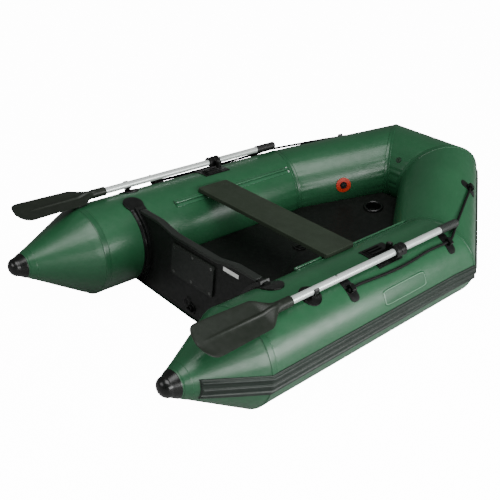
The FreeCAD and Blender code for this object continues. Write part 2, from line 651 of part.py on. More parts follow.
BLADE_ROLL = {"port": 6.0, "starboard": -20.0}
BUTTON_X, BUTTON_R = -360.0, 4.2
PLUG_LENGTH = 60.0
inner_r = SHAFT_R - SHAFT_WALL
button_hole = Part.makeCylinder(BUTTON_R + RUN_CLEARANCE, 30, Vector(BUTTON_X, 0, 0))
lower_shaft = ring(inner_r, SHAFT_R, BLADE_NECK + 2, SHAFT_JOINT).cut(button_hole)
upper_shaft = ring(inner_r, SHAFT_R, SHAFT_JOINT, GRIP_X1 - 12)
plug = ring(inner_r - 1.6, inner_r - 0.1, SHAFT_JOINT - PLUG_LENGTH, SHAFT_JOINT)
plug = plug.fuse(ring(inner_r - 1.6, inner_r, SHAFT_JOINT, SHAFT_JOINT + 10)).removeSplitter()
upper_shaft = upper_shaft.fuse(plug).removeSplitter().cut(button_hole)
button = Part.makeCylinder(BUTTON_R, 9, Vector(BUTTON_X, 0, SHAFT_R - 6))
button = button.makeFillet(2, [e for e in button.Edges
                               if abs(e.CenterOfMass.z - SHAFT_R - 3) < 1e-6 and e.Closed])
grip = Part.makeCylinder(SHAFT_R + 3.5, GRIP_X1 - GRIP_X0, Vector(GRIP_X0, 0, 0), X)
grip = grip.makeFillet(3, grip.Edges).cut(
    Part.makeCylinder(SHAFT_R, GRIP_X1 - GRIP_X0 - 12, Vector(GRIP_X0, 0, 0), X))

# Rowlock: pad on the tube, upright pin, yoke that swings on it, collar that dips on the yoke.
wall_y = SHAFT_R + 8  # half width of the collar outside the shaft
collar_low = -13.5
collar = Part.makeCylinder(COLLAR_R, 2 * COLLAR_HALF, Vector(-COLLAR_HALF, 0, 0), X)
collar = collar.fuse(Part.makeBox(2 * COLLAR_HALF, 2 * wall_y, -collar_low,
                                  Vector(-COLLAR_HALF, -wall_y, collar_low)))
collar = clipped(collar.removeSplitter(), Vector(0, 0, collar_low), Z * -1)
collar = collar.cut(Part.makeCylinder(SHAFT_R, 200, Vector(-100, 0, 0), X))
STUB_R = 4.0
pin_dy = PIN_Y - OAR_Y
collar = collar.cut(Part.makeCylinder(STUB_R + RUN_CLEARANCE, 60, Vector(0, -SHAFT_R - 60, 0), Y))
HUB_R, HUB_LOW, HUB_HIGH = 13.0, -10.0, 13.0
yoke = Part.makeCylinder(HUB_R, HUB_HIGH - HUB_LOW, Vector(0, pin_dy, HUB_LOW))
yoke = yoke.fuse(Part.makeCylinder(STUB_R, -pin_dy - SHAFT_R - 0.5, Vector(0, pin_dy, 0), Y))
yoke = yoke.removeSplitter().cut(
    Part.makeCylinder(PIN_R + RUN_CLEARANCE, 60, Vector(0, pin_dy, HUB_LOW - 10)))
pin_bottom = 358.8 - OAR_Z
pin = Part.makeCylinder(PIN_R, HUB_HIGH + 0.5 - pin_bottom, Vector(0, pin_dy, pin_bottom))
pin = pin.fuse(Part.makeCylinder(8, 3, Vector(0, pin_dy, HUB_HIGH + 0.5))).removeSplitter()
base = sector(TUBE_R, TUBE_R + 3, 62, 96, -118, 24)
rib_block = fused([sector(TUBE_R + 1, TUBE_R + 6, 80, 94, -104, -18)] +
                  [sector(TUBE_R + 3, TUBE_R + 11, p, p + 2.2, -98, -22) for p in (81, 85.5, 90)])
BOSS_LOW = 352.0
boss = Part.makeCylinder(11, OAR_Z + HUB_LOW - 0.5 - BOSS_LOW,
                         Vector(0, PIN_Y - TUBE_Y, BOSS_LOW - TUBE_R))
boss = boss.cut(Part.makeCylinder(TUBE_R, 200, Vector(-100, 0, 0), X))
base = fused([base, rib_block, boss]).cut(
    Part.makeCylinder(PIN_R, 100, Vector(0, PIN_Y - TUBE_Y, pin_bottom + OAR_Z - TUBE_R)))
base = side.place(base)
base.translate(Vector(-side.start.x, 0, 0))

# Clip that holds the stowed shaft: a disc on the tube, and a springy hook round the shaft.
clip_disc = Part.makeCylinder(43, 300, Vector(0, 0, 0))
clip_phi = math.degrees(math.atan2(OAR_Z - TUBE_R, OAR_Y - TUBE_Y))
clip_base = side.patch(clip_disc, 3, CLIP_X - side.start.x, clip_phi)
hook = Part.Face(sector_wire(SHAFT_R + SKIN_GAP, SHAFT_R + 5, -160, 42, 0)).extrude(X * 22)
post = Part.makeBox(22, 14, 14, Vector(0, -7, -SHAFT_R - 14))
post = post.cut(Part.makeCylinder(SHAFT_R + 2, 60, Vector(-10, 0, 0), X))
hook = along_x(hook.fuse(post).removeSplitter(), CLIP_X - 11).cut(
    Part.makeCylinder(TUBE_R + 3, 200, Vector(CLIP_X - 100, TUBE_Y, TUBE_R), X))
save("oar_clip_bases", clip_base, mirrored(clip_base))
save("oar_clip_hooks", hook, mirrored(hook))
save_pair("rowlock_base", base)
pin = along_x(pin, 0)
save("rowlock_pins", pin, mirrored(pin))
save_pair("rowlock_yoke", along_x(yoke, 0))
save_pair("oar_collar", along_x(collar, 0))
save_pair("oar_lower_shaft", along_x(lower_shaft, 0))
save_pair("oar_upper_shaft", along_x(upper_shaft, 0))
save_pair("oar_button", along_x(button, 0))
save_pair("oar_grip", along_x(grip, 0))
save("port_oar_blade", blade_solid(BLADE_ROLL["port"]))
save("starboard_oar_blade", mirrored(blade_solid(BLADE_ROLL["starboard"])))


# ---------------------------------------------------------------- grab lines
ARCH_TOP, ARCH_SUNK, ARCH_ROUND = 20.5, 4.0, 5.0  # above and below the tube's wall, edge radius


def line_patch():
    """Footprint of a patch, and the moulded loop that the grab line runs through."""
    footprint = rounded_box(46, 96, 0, 300, 18)
    arch = Part.makeBox(20, 30, ARCH_TOP + ARCH_SUNK, Vector(-10, -15, TUBE_R - ARCH_SUNK))
    arch = arch.makeFillet(ARCH_ROUND, [e for e in arch.Edges
                                        if abs(e.CenterOfMass.z - TUBE_R - ARCH_TOP) < 0.01
                                        and abs(e.CenterOfMass.x) < 0.01])
    return footprint, arch.cut(Part.makeCylinder(TUBE_R, 60, Vector(-30, 0, 0), X))


pad, arch = line_patch()


def patch_on(segment, x, phi):
    """One loop patch, bored along the line that passes through it."""
    base = segment.patch(pad, 2, x, phi)
    loop = segment.radial(arch, x, phi)
    bore = Part.makeCylinder(LOOP_HOLE_R, 80, Vector(-40, 0, LOOP_RADIUS), X)
    return base.fuse(loop).removeSplitter().cut(segment.radial(bore, x, phi))


PATCH_1 = (-307.0 - side.start.x, 56.0)
PATCH_2 = (305.0 - side.start.x, 54.0)
PATCH_3 = (bow.length * 0.62, 46.4)
patches = [patch_on(side, *PATCH_1), patch_on(side, *PATCH_2), patch_on(bow, *PATCH_3)]
save("grab_line_patches", *[q for p in patches for q in (p, mirrored(p))])
badge = rounded_box(262, 62, 0, 300, 16)
badge_patch = side.patch(badge, 1.2, -37.0 - side.start.x, 28)
save("blank_side_badges", badge_patch, mirrored(badge_patch))


def cord_tube(name, points, diameter):
    """Round tube along straight runs joined by tangent arcs; prints its arcs and length."""
    edges, radii, here = [], [], points[0]
    for before, corner, after in zip(points, points[1:], points[2:]):
        back, ahead = before - corner, after - corner
        turn = math.pi - back.getAngle(ahead)
        reach = 0.45 * min(back.Length, ahead.Length)
        radius = reach / math.tan(turn / 2)
        radii.append(radius)
        start = corner + back.normalize() * reach
        end = corner + ahead.normalize() * reach
        toward = (back + ahead).normalize()
        middle = corner + toward * (radius / math.cos(turn / 2) - radius)
        edges += [Part.LineSegment(here, start).toShape(), Part.Arc(start, middle, end).toShape()]
        here = end
    edges.append(Part.LineSegment(here, points[-1]).toShape())
    path = Part.Wire(edges)
    section = Part.Wire(Part.Circle(points[0], points[1] - points[0], diameter / 2).toShape())
    tube = path.makePipeShell([section], True, False)
    ideal = math.pi * diameter ** 2 / 4 * path.Length
    print("%s: length %.0f mm, volume %.4f of section times length, least radius %.0f mm"
          % (name, path.Length, tube.Volume / ideal, min(radii)))
    return tube


# Route of the port line: (distance along the tube, angle round it, distance from its axis).
SIDE_ROUTE = [(-326, 55.0, LOOP_RADIUS), (-288, 56.5, 187.6), (-232, 56.0, 186.6), (-150, 54.0, 186.4),
              (-45, 52.5, 186.3), (58, 53.2, 186.3), (155, 55.5, 186.4), (240, 55.0, 187.0),
              (290, 54.0, LOOP_RADIUS), (328, 55.0, 189.2), (378, 63.0, 190.5)]
BOW_ROUTE = [(22, 69.0, 189.5), (78, 65.4, 187.4), (145, 61.0, 186.6), (215, 56.4, 186.6),
             (285, 51.6, 187.8), (344, 47.2, LOOP_RADIUS), (386, 45.6, LOOP_RADIUS)]
route = ([side.point(x - side.start.x, r, phi) for x, phi, r in SIDE_ROUTE]
         + [bow.point(x, r, phi) for x, phi, r in BOW_ROUTE])
line = cord_tube("grab line", route, ROPE_D)
save_pair("grab_line", line)
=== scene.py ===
"""Small inflatable dinghy with a rigid transom, a sliding bench and two stowed oars.

Everything is in metres in the boat's own frame: +X to the bow, +Y to port, +Z up, with the
origin under the middle of the hull on the surface that the tubes rest on.
"""
import json
import logging
import math
from dataclasses import dataclass
from enum import Enum

import bmesh
import bpy
import numpy as np
from mathutils import Matrix, Vector


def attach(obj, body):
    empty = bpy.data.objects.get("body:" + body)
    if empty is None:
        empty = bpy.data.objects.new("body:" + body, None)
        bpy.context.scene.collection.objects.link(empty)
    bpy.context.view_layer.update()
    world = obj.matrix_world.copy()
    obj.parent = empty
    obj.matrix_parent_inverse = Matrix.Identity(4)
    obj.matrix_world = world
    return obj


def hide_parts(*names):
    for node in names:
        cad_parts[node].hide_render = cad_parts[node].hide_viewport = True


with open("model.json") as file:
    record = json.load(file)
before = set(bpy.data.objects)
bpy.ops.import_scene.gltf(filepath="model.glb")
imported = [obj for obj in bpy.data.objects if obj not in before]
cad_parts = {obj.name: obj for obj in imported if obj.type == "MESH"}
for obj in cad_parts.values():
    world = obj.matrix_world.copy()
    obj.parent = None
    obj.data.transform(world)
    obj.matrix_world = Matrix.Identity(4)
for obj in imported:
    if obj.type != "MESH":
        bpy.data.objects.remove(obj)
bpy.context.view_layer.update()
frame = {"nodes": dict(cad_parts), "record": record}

Array = np.ndarray
log = logging.getLogger("dinghy")

TAU = 2 * math.pi
UP = np.array([0.0, 0.0, 1.0])
SHARP_ANGLE = 30.0  # degrees; a refined part is shaded smooth below it
BEVEL_ANGLE = 40.0  # degrees; a refined part's edges are bevelled above it
MIX_FACTOR, MIX_A, MIX_B, MIX_RESULT = 0, 6, 7, 2  # sockets of a Mix node that mixes colours
DUST_COLOUR = (0.45, 0.45, 0.42, 1)


class Side(Enum):
    """The two sides of the boat, valued by the sign of Y."""

    PORT = 1
    STARBOARD = -1

    @property
    def word(self) -> str:
        """The side's name as it stands in node names."""
        return self.name.lower()


class Pattern(Enum):
    """What the fine relief of a finish is made of."""

    GRAIN = "grain"
    WEAVE = "weave"
    BRUSHED = "brushed"


class Space(Enum):
    """Which coordinates a finish reads."""

    OBJECT = "Object"
    SURFACE = "UV"


# ------------------------------------------------------------------ node helpers
def socket(tree: bpy.types.NodeTree, name: str, kind: str, into: bool,
           value: object = None) -> None:
    """Add one named socket to a node group.

    Args:
        tree: The group.
        name: The socket's label.
        kind: "Float", "Vector" or "Color".
        into: True for an input.
        value: Default of an input.
    """
    item = tree.interface.new_socket(name, in_out="INPUT" if into else "OUTPUT",
                                     socket_type="NodeSocket" + kind)
    if value is not None:
        item.default_value = value


class Wiring:
    """A node tree with short ways to add nodes and join them."""

    def __init__(self, tree: bpy.types.NodeTree) -> None:
        """Keep the tree that the nodes go in."""
        self.tree = tree

    def node(self, kind: str, **settings: object) -> bpy.types.Node:
        """Add a node.

        Args:
            kind: Node type without its "ShaderNode" prefix, or a full type name.
            settings: Attributes to set on the node.

        Returns:
            The new node.
        """
        full = kind if kind.startswith("NodeGroup") else "ShaderNode" + kind
        made = self.tree.nodes.new(full)
        for key, value in settings.items():
            setattr(made, key, value)
        return made

    def join(self, source: bpy.types.NodeSocket, target: bpy.types.NodeSocket) -> None:
        """Link an output to an input."""
        self.tree.links.new(source, target)

    def fill(self, node: bpy.types.Node, inputs: dict[str | int, object]) -> None:
        """Give a node its inputs: a socket is joined, anything else is set.

        Args:
            node: The node.
            inputs: Values by the name or the number of the input.
        """
        for key, value in inputs.items():
            if isinstance(value, bpy.types.NodeSocket):
                self.join(value, node.inputs[key])
            else:
                node.inputs[key].default_value = value

    def maths(self, operation: str, *values: object) -> bpy.types.NodeSocket:
        """Add a Math node.

        Args:
            operation: Name of the operation.
            values: Numbers or sockets, in order.

        Returns:
            The node's output.
        """
        made = self.node("Math", operation=operation)
        self.fill(made, dict(enumerate(values)))
        return made.outputs[0]

    def noise(self, vector: bpy.types.NodeSocket, scale: object,
              detail: float) -> bpy.types.NodeSocket:
        """Add a noise texture.

        Args:
            vector: Coordinates.
            scale: Number or socket.
            detail: Octaves.

        Returns:
            The noise value.
        """
        made = self.node("TexNoise")
        self.fill(made, {"Detail": detail, "Vector": vector, "Scale": scale})
        return made.outputs[0]

    def spread(self, value: bpy.types.NodeSocket, low: float, high: float) -> bpy.types.NodeSocket:
        """Map 0.3 to 0.7 of a noise value onto low to high.

        Args:
            value: The noise value.
            low: What 0.3 becomes.
            high: What 0.7 becomes.

        Returns:
            The mapped value.
        """
        made = self.node("MapRange")
        self.fill(made, {"From Min": 0.3, "From Max": 0.7, "To Min": low, "To Max": high,
                         "Value": value})
        return made.outputs[0]


class Effects:
    """Node groups that more than one finish uses, each built once."""

    def __init__(self) -> None:
        """Build every group."""
        self.relief = {Pattern.GRAIN: self._grain(), Pattern.WEAVE: self._weave(),
                       Pattern.BRUSHED: self._brushed()}
        self.mottle = self._mottle()
        self.dust = self._dust()

    @staticmethod
    def _blank(name: str, relief: bool = False) -> tuple[Wiring, bpy.types.Node, bpy.types.Node]:
        """Start a group that reads coordinates.

        Args:
            name: The group's name.
            relief: True for one that also reads a scale and puts out a height.

        Returns:
            Its wiring, its input node and its output node.
        """
        tree = bpy.data.node_groups.new(name, "ShaderNodeTree")
        socket(tree, "Vector", "Vector", True)
        if relief:
            socket(tree, "Scale", "Float", True, 900.0)
            socket(tree, "Height", "Float", False)
        wiring = Wiring(tree)
        return wiring, wiring.node("NodeGroupInput"), wiring.node("NodeGroupOutput")

    def _grain(self) -> bpy.types.NodeTree:
        """Moulded or painted grain: two sizes of noise added together.

        Returns:
            The group.
        """
        wiring, start, end = self._blank("fine_grain", relief=True)
        where, scale = start.outputs["Vector"], start.outputs["Scale"]
        fine = wiring.noise(where, scale, 3.0)
        coarse = wiring.noise(where, wiring.maths("MULTIPLY", scale, 0.22), 2.0)
        both = wiring.maths("ADD", fine, wiring.maths("MULTIPLY", coarse, 0.6))
        wiring.join(both, end.inputs["Height"])
        return wiring.tree

    def _weave(self) -> bpy.types.NodeTree:
        """Base cloth seen through a coating: product of two thread waves, softened by noise.

        Returns:
            The group.
        """
        wiring, start, end = self._blank("coated_weave", relief=True)
        parts = wiring.node("SeparateXYZ")
        wiring.join(start.outputs["Vector"], parts.inputs[0])
        turns = wiring.maths("MULTIPLY", start.outputs["Scale"], TAU)
        waves = [wiring.maths("SINE", wiring.maths("MULTIPLY", parts.outputs[axis], turns))
                 for axis in (0, 1)]
        cross = wiring.maths("MULTIPLY", waves[0], waves[1])
        soft = wiring.noise(start.outputs["Vector"], 60.0, 2.0)
        wiring.join(wiring.maths("MULTIPLY", cross, soft), end.inputs["Height"])
        return wiring.tree

    def _brushed(self) -> bpy.types.NodeTree:
        """Drawing marks along X: noise on coordinates that are squeezed along the length.

        Returns:
            The group.
        """
        wiring, start, end = self._blank("drawn_metal", relief=True)
        squeeze = wiring.node("Mapping")
        squeeze.inputs["Scale"].default_value = (0.02, 1.0, 1.0)
        wiring.join(start.outputs["Vector"], squeeze.inputs["Vector"])
        lines = wiring.noise(squeeze.outputs[0], start.outputs["Scale"], 2.0)
        wiring.join(lines, end.inputs["Height"])
        return wiring.tree

    def _mottle(self) -> bpy.types.NodeTree:
        """Slow drift between two colours, with a mask for the roughness.

        Returns:
            The group.
        """
        wiring, start, end = self._blank("mottled_colour")
        socket(wiring.tree, "Scale", "Float", True, 6.0)
        socket(wiring.tree, "Light", "Color", True, (1, 1, 1, 1))
        socket(wiring.tree, "Dark", "Color", True, (0, 0, 0, 1))
        socket(wiring.tree, "Color", "Color", False)
        socket(wiring.tree, "Mask", "Float", False)
        cloud = wiring.noise(start.outputs["Vector"], start.outputs["Scale"], 4.0)
        mask = wiring.spread(cloud, 0.0, 1.0)
        mix = wiring.node("Mix", data_type="RGBA")
        wiring.fill(mix, {MIX_FACTOR: mask, MIX_A: start.outputs["Dark"],
                          MIX_B: start.outputs["Light"]})
        wiring.join(mix.outputs[MIX_RESULT], end.inputs["Color"])
        wiring.join(mask, end.inputs["Mask"])
        return wiring.tree

    def _dust(self) -> bpy.types.NodeTree:
        """Specks of dust on faces that look up: thresholded noise times the normal's height.

        Returns:
            The group.
        """
        wiring, start, end = self._blank("light_dust")
        socket(wiring.tree, "Mask", "Float", False)
        shape = wiring.node("NewGeometry")
        parts = wiring.node("SeparateXYZ")
        wiring.join(shape.outputs["Normal"], parts.inputs[0])
        up = wiring.maths("MAXIMUM", parts.outputs[2], 0.0)
        specks = wiring.spread(wiring.noise(start.outputs["Vector"], 35.0, 5.0), -0.5, 1.0)
        clean = wiring.maths("MAXIMUM", specks, 0.0)
        wiring.join(wiring.maths("MULTIPLY", up, clean), end.inputs["Mask"])
        return wiring.tree


EFFECTS = Effects()


@dataclass(frozen=True)
class Finish:
    """One finish: its colours, gloss and fine relief."""

    name: str
    light: tuple[float, float, float]
    dark: tuple[float, float, float]
    roughness: float
    rough_swing: float = 0.06
    metallic: float = 0.0
    coat: float = 0.0
    coat_roughness: float = 0.2
    specular: float = 0.5
    pattern: Pattern = Pattern.GRAIN
    relief_scale: float = 900.0
    relief_depth: float = 0.00015
    relief_strength: float = 0.35
    mottle_scale: float = 6.0
    dust: float = 0.04
    space: Space = Space.OBJECT

    def build(self) -> bpy.types.Material:
        """Make the material.

        Returns:
            A material whose colour, roughness and normal come from the shared effects.
        """
        material = bpy.data.materials.new(self.name)
        material.use_nodes = True
        wiring = Wiring(material.node_tree)
        shader = material.node_tree.nodes["Principled BSDF"]
        where = wiring.node("TexCoord").outputs[self.space.value]
        colour = self._colour(wiring, where)
        cloud = wiring.noise(where, self.mottle_scale * 9, 3.0)
        rough = wiring.spread(cloud, self.roughness - self.rough_swing,
                              self.roughness + self.rough_swing)
        wiring.fill(shader, {"Base Color": colour, "Roughness": rough,
                             "Normal": self._bump(wiring, where), "Metallic": self.metallic,
                             "Specular IOR Level": self.specular, "Coat Weight": self.coat,
                             "Coat Roughness": self.coat_roughness})
        return material

    def _colour(self, wiring: Wiring, where: bpy.types.NodeSocket) -> bpy.types.NodeSocket:
        """Mottled colour with a trace of dust on the upper faces.

        Args:
            wiring: The material's wiring.
            where: Coordinates.

        Returns:
            The colour.
        """
        mottle = wiring.node("Group", node_tree=EFFECTS.mottle)
        wiring.fill(mottle, {"Scale": self.mottle_scale, "Light": (*self.light, 1),
                             "Dark": (*self.dark, 1), "Vector": where})
        dust = wiring.node("Group", node_tree=EFFECTS.dust)
        wiring.join(where, dust.inputs["Vector"])
        amount = wiring.maths("MULTIPLY", dust.outputs["Mask"], self.dust)
        mix = wiring.node("Mix", data_type="RGBA")
        wiring.fill(mix, {MIX_FACTOR: amount, MIX_A: mottle.outputs["Color"], MIX_B: DUST_COLOUR})
        return mix.outputs[MIX_RESULT]

    def _bump(self, wiring: Wiring, where: bpy.types.NodeSocket) -> bpy.types.NodeSocket:
        """Fine relief as a bumped normal.

        Args:
            wiring: The material's wiring.
            where: Coordinates.

        Returns:
            The normal.
        """
        relief = wiring.node("Group", node_tree=EFFECTS.relief[self.pattern])
        wiring.fill(relief, {"Scale": self.relief_scale, "Vector": where})
        bump = wiring.node("Bump")
        wiring.fill(bump, {"Strength": self.relief_strength, "Distance": self.relief_depth,
                           "Height": relief.outputs["Height"]})
        return bump.outputs["Normal"]


class Finishes:
    """Every finish of the boat, built on first use."""

    HULL = Finish("hull_pvc", (0.0115, 0.062, 0.0255), (0.0080, 0.047, 0.0190), 0.34, 0.04,
                  coat=0.03, coat_roughness=0.28, specular=0.36, pattern=Pattern.WEAVE,
                  relief_scale=1100.0, relief_depth=0.00005, relief_strength=0.25,
                  mottle_scale=3.0, dust=0.006, space=Space.SURFACE)
    TAPE = Finish("seam_tape_pvc", (0.0105, 0.056, 0.0235), (0.0075, 0.043, 0.0175), 0.32, 0.04,
                  coat=0.05, coat_roughness=0.25, specular=0.30, relief_scale=700.0,
                  relief_depth=0.00006, dust=0.004)
    RAIL = Finish("rail_pvc", (0.017, 0.075, 0.034), (0.012, 0.058, 0.026), 0.24, 0.03, coat=0.4,
                  coat_roughness=0.18, relief_scale=700.0, relief_depth=0.00004, dust=0.004)
    STRAKE = Finish("strake_rubber", (0.0078, 0.0140, 0.0098), (0.0055, 0.0100, 0.0070), 0.42,
                    specular=0.24, dust=0.004)
    CAP = Finish("cap_rubber", (0.0022, 0.0028, 0.0024), (0.0014, 0.0018, 0.0015), 0.28,
                 specular=0.32, relief_scale=500.0, dust=0.003)
    BOARD = Finish("transom_coating", (0.0022, 0.0030, 0.0023), (0.0012, 0.0018, 0.0013), 0.46,
                   0.08, specular=0.22, relief_scale=1300.0, relief_depth=0.0002,
                   relief_strength=0.5, dust=0.003)
    HOLDER = Finish("holder_pvc", (0.0018, 0.0024, 0.0019), (0.0011, 0.0015, 0.0012), 0.36,
                    specular=0.30, dust=0.003)
    PLATE = Finish("motor_plate", (0.0055, 0.0078, 0.0060), (0.0038, 0.0055, 0.0042), 0.50,
                   specular=0.30, relief_scale=2200.0, relief_depth=0.0003, relief_strength=0.6,
                   dust=0.004)
    TRIM = Finish("edge_trim", (0.0085, 0.0112, 0.0092), (0.0060, 0.0080, 0.0066), 0.38,
                  specular=0.30, dust=0.004)
    SCREW = Finish("screw_steel", (0.16, 0.165, 0.16), (0.09, 0.095, 0.09), 0.38, metallic=1.0,
                   dust=0.0)
    BLACK = Finish("moulded_black", (0.0020, 0.0024, 0.0021), (0.0012, 0.0014, 0.0013), 0.36,
                   specular=0.22, relief_scale=1600.0, dust=0.003)
    RELIEF = Finish("relief_valve_green", (0.0060, 0.0230, 0.0105), (0.0045, 0.0180, 0.0082), 0.30,
                    relief_depth=0.00002)
    BADGE_LINE = Finish("badge_line", (0.075, 0.165, 0.100), (0.060, 0.135, 0.080), 0.35,
                        relief_depth=0.00002)
    RED = Finish("valve_flange_red", (0.30, 0.020, 0.007), (0.23, 0.014, 0.005), 0.42,
                 specular=0.2, dust=0.0)
    LABEL = Finish("blank_label", (0.62, 0.63, 0.61), (0.54, 0.55, 0.53), 0.35,
                   relief_depth=0.00002)
    FLOOR = Finish("floor_fabric", (0.0026, 0.0035, 0.0026), (0.0013, 0.0018, 0.0013), 0.47, 0.08,
                   specular=0.20, pattern=Pattern.WEAVE, relief_scale=700.0, relief_depth=0.00015,
                   relief_strength=0.5, dust=0.004)
    BOTTOM = Finish("bottom_fabric", (0.0060, 0.0270, 0.0120), (0.0042, 0.0190, 0.0085), 0.45,
                    pattern=Pattern.WEAVE, relief_scale=800.0, dust=0.0)
    SEAT = Finish("seat_coating", (0.0152, 0.0222, 0.0136), (0.0122, 0.0180, 0.0110), 0.60, 0.05,
                  specular=0.16, relief_scale=1500.0, relief_depth=0.0002, relief_strength=0.5,
                  dust=0.006)
    ALLOY = Finish("oar_alloy", (0.56, 0.60, 0.58), (0.48, 0.52, 0.50), 0.34, 0.05, metallic=0.55,
                   pattern=Pattern.BRUSHED, relief_scale=1800.0, relief_depth=0.00005, dust=0.0)
    BLADE = Finish("blade_plastic", (0.0082, 0.0112, 0.0077), (0.0062, 0.0086, 0.0058), 0.42,
                   specular=0.20, relief_scale=1200.0, relief_depth=0.0002, dust=0.005)
    GRIP_BLACK = Finish("grip_black", (0.0030, 0.0034, 0.0031), (0.0020, 0.0023, 0.0021), 0.50,
                        specular=0.36, relief_scale=1500.0, relief_depth=0.0003, dust=0.003)
    # A lighter copy of the black grip rubber: a painted highlight for the starboard grip.
    GRIP_PAINTED_HIGHLIGHT = Finish("grip_grey", (0.012, 0.015, 0.013), (0.009, 0.011, 0.010), 0.48,
                       specular=0.25, relief_scale=1500.0, relief_depth=0.0003, dust=0.004)
    ROPE = Finish("braided_line", (0.0024, 0.0028, 0.0025), (0.0012, 0.0014, 0.0013), 0.66,
                  specular=0.14, mottle_scale=300.0, relief_scale=2500.0,
                  relief_depth=0.0003, dust=0.0)

    _made: dict[str, bpy.types.Material] = {}

    @classmethod
    def get(cls, finish: Finish) -> bpy.types.Material:
        """The material of a finish, built once."""
        if finish.name not in cls._made:
            cls._made[finish.name] = finish.build()
        return cls._made[finish.name]


# ------------------------------------------------------------------ meshes
def wrap_faces(rows: int, columns: int, closed: bool) -> Array:
    """Quads of a grid.

    Args:
        rows: Points along the first parameter.
        columns: Points along the second parameter.
        closed: True where the last column joins the first.

    Returns:
        Quads as indices, four to a row, counted row by row.
    """
    i, j = np.meshgrid(np.arange(rows - 1), np.arange(columns - (not closed)), indexing="ij")
    k = (j + 1) % columns
    return np.stack([i * columns + j, (i + 1) * columns + j, (i + 1) * columns + k,
                     i * columns + k], axis=-1).reshape(-1, 4)


def signed_volume(points: Array, faces: Array) -> float:
    """Volume inside a closed mesh of quads, negative where the faces point inwards.

    Args:
        points: Corner points.
        faces: Quads, as indices of points.

    Returns:
        The volume.
    """
    a, b, c, d = (points[faces[:, n]] for n in range(4))
    return float((np.einsum("ij,ij->i", a, np.cross(b, c))
                  + np.einsum("ij,ij->i", a, np.cross(c, d))).sum())


@dataclass
class Surface:
    """A grid of points with its own UV map in metres, closed into a solid piece.

    The second parameter always runs round a closed loop.  The ends of the first are joined to
    each other, or shut with a centre point each.
    """

    name: str
    points: Array
    uv: Array
    ring: bool = False

    @classmethod
    def plain(cls, name: str, points: Array, along: Array | float, girth: float,
              ring: bool = False) -> "Surface":
        """A surface whose UVs are metres along by even shares of a girth.

        Args:
            name: Name of the piece.
            points: Its grid.
            along: Metres of each row, or the whole length, shared out evenly.
            girth: Metres round the second parameter.
            ring: True where the first parameter closes on itself.

        Returns:
            The surface.
        """
        rows, columns, _ = points.shape
        lengths = along if isinstance(along, np.ndarray) else np.linspace(0, along, rows)
        arcs = np.linspace(0, girth, columns + 1)
        return cls(name, points, np.stack(np.meshgrid(lengths, arcs, indexing="ij"), axis=-1), ring)

    def build(self, finish: Finish, body: str, slot_name: str, *replaced: str) -> bpy.types.Object:
        """Turn the grid into a piece.

        Args:
            finish: What it is made of.
            body: The CAD body that it rides on.
            slot_name: Its material slot in the record; not used.
            replaced: CAD nodes that it stands for.

        Returns:
            The new object.
        """
        rows, columns, _ = self.points.shape
        grid, uv = self.points, self.uv
        if self.ring:
            grid = np.concatenate([grid, grid[:1]])
            uv = np.concatenate([uv, uv[-1:] + (uv[-1:] - uv[-2:-1])])
            rows += 1
        faces = wrap_faces(rows, columns, True)
        corners = uv_corners(uv)
        vertices = grid.reshape(-1, 3)
        if self.ring:
            faces = faces % ((rows - 1) * columns)
            vertices = vertices[:(rows - 1) * columns]
        tips: list[list[int]] = []
        tip_uv: list[Array] = []
        if not self.ring:
            vertices = np.concatenate([vertices, grid[0].mean(0)[None], grid[-1].mean(0)[None]])
            first, last = len(vertices) - 2, len(vertices) - 1
            loop = np.arange(columns)
            after = (loop + 1) % columns
            base = (rows - 1) * columns
            tips += np.stack([np.full(columns, first), loop, after], 1).tolist()
            tips += np.stack([np.full(columns, last), base + after, base + loop], 1).tolist()
            tip_uv = [np.repeat(uv[:1, :columns], 3, 0).transpose(1, 0, 2).reshape(-1, 2),
                      np.repeat(uv[-1:, :columns], 3, 0).transpose(1, 0, 2).reshape(-1, 2)]
        if signed_volume(vertices, faces) < 0:
            faces, corners = faces[:, ::-1], corners[:, ::-1]
            tips = [face[::-1] for face in tips]
        mesh = bpy.data.meshes.new(self.name)
        mesh.from_pydata(vertices.tolist(), [], faces.tolist() + tips)
        layer = mesh.uv_layers.new(name="surface")
        flat = np.concatenate([corners.reshape(-1, 2)] + tip_uv)
        layer.data.foreach_set("uv", flat.astype(np.float32).ravel())
        mesh.polygons.foreach_set("use_smooth", np.ones(len(mesh.polygons), bool))
        return finished(mesh, finish, body, replaced)


def squared(wave: Array, power: float) -> Array:
    """A sine or cosine pressed towards a square wave: sign(w) |w|^p, as a superellipse has."""
    return np.sign(wave) * np.abs(wave) ** power


def uv_corners(uv: Array) -> Array:
    """UV of each quad's corners, from a grid that has one more column than the points."""
    return np.stack([uv[:-1, :-1], uv[1:, :-1], uv[1:, 1:], uv[:-1, 1:]], axis=2).reshape(-1, 4, 2)


def finished(mesh: bpy.types.Mesh, finish: Finish, body: str,
             replaced: tuple[str, ...]) -> bpy.types.Object:
    """Put a mesh in the scene as a finished piece that rides on a body.

    Args:
        mesh: The mesh, in the boat's frame.
        finish: What it is made of.
        body: CAD body.
        replaced: CAD nodes that it stands for.

    Returns:
        The new object.
    """
    mesh.materials.append(Finishes.get(finish))
    piece = bpy.data.objects.new(mesh.name, mesh)
    bpy.context.scene.collection.objects.link(piece)
    if replaced:
        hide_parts(*replaced)
    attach(piece, body)
    log.info("%s: %d faces", piece.name, len(mesh.polygons))
    return piece


def node_body(node: str) -> str:
    """The CAD body that a node belongs to."""
    bodies = frame["record"]["behaviour"]["bodies"]
    return next(body for body, nodes in bodies.items() if node in nodes)


def node_slot(node: str) -> str:
    """The record's material slot of a node."""
    parts = frame["record"]["subparts"]
    return next(part["material_slot"] for part in parts if part["node"] == node)


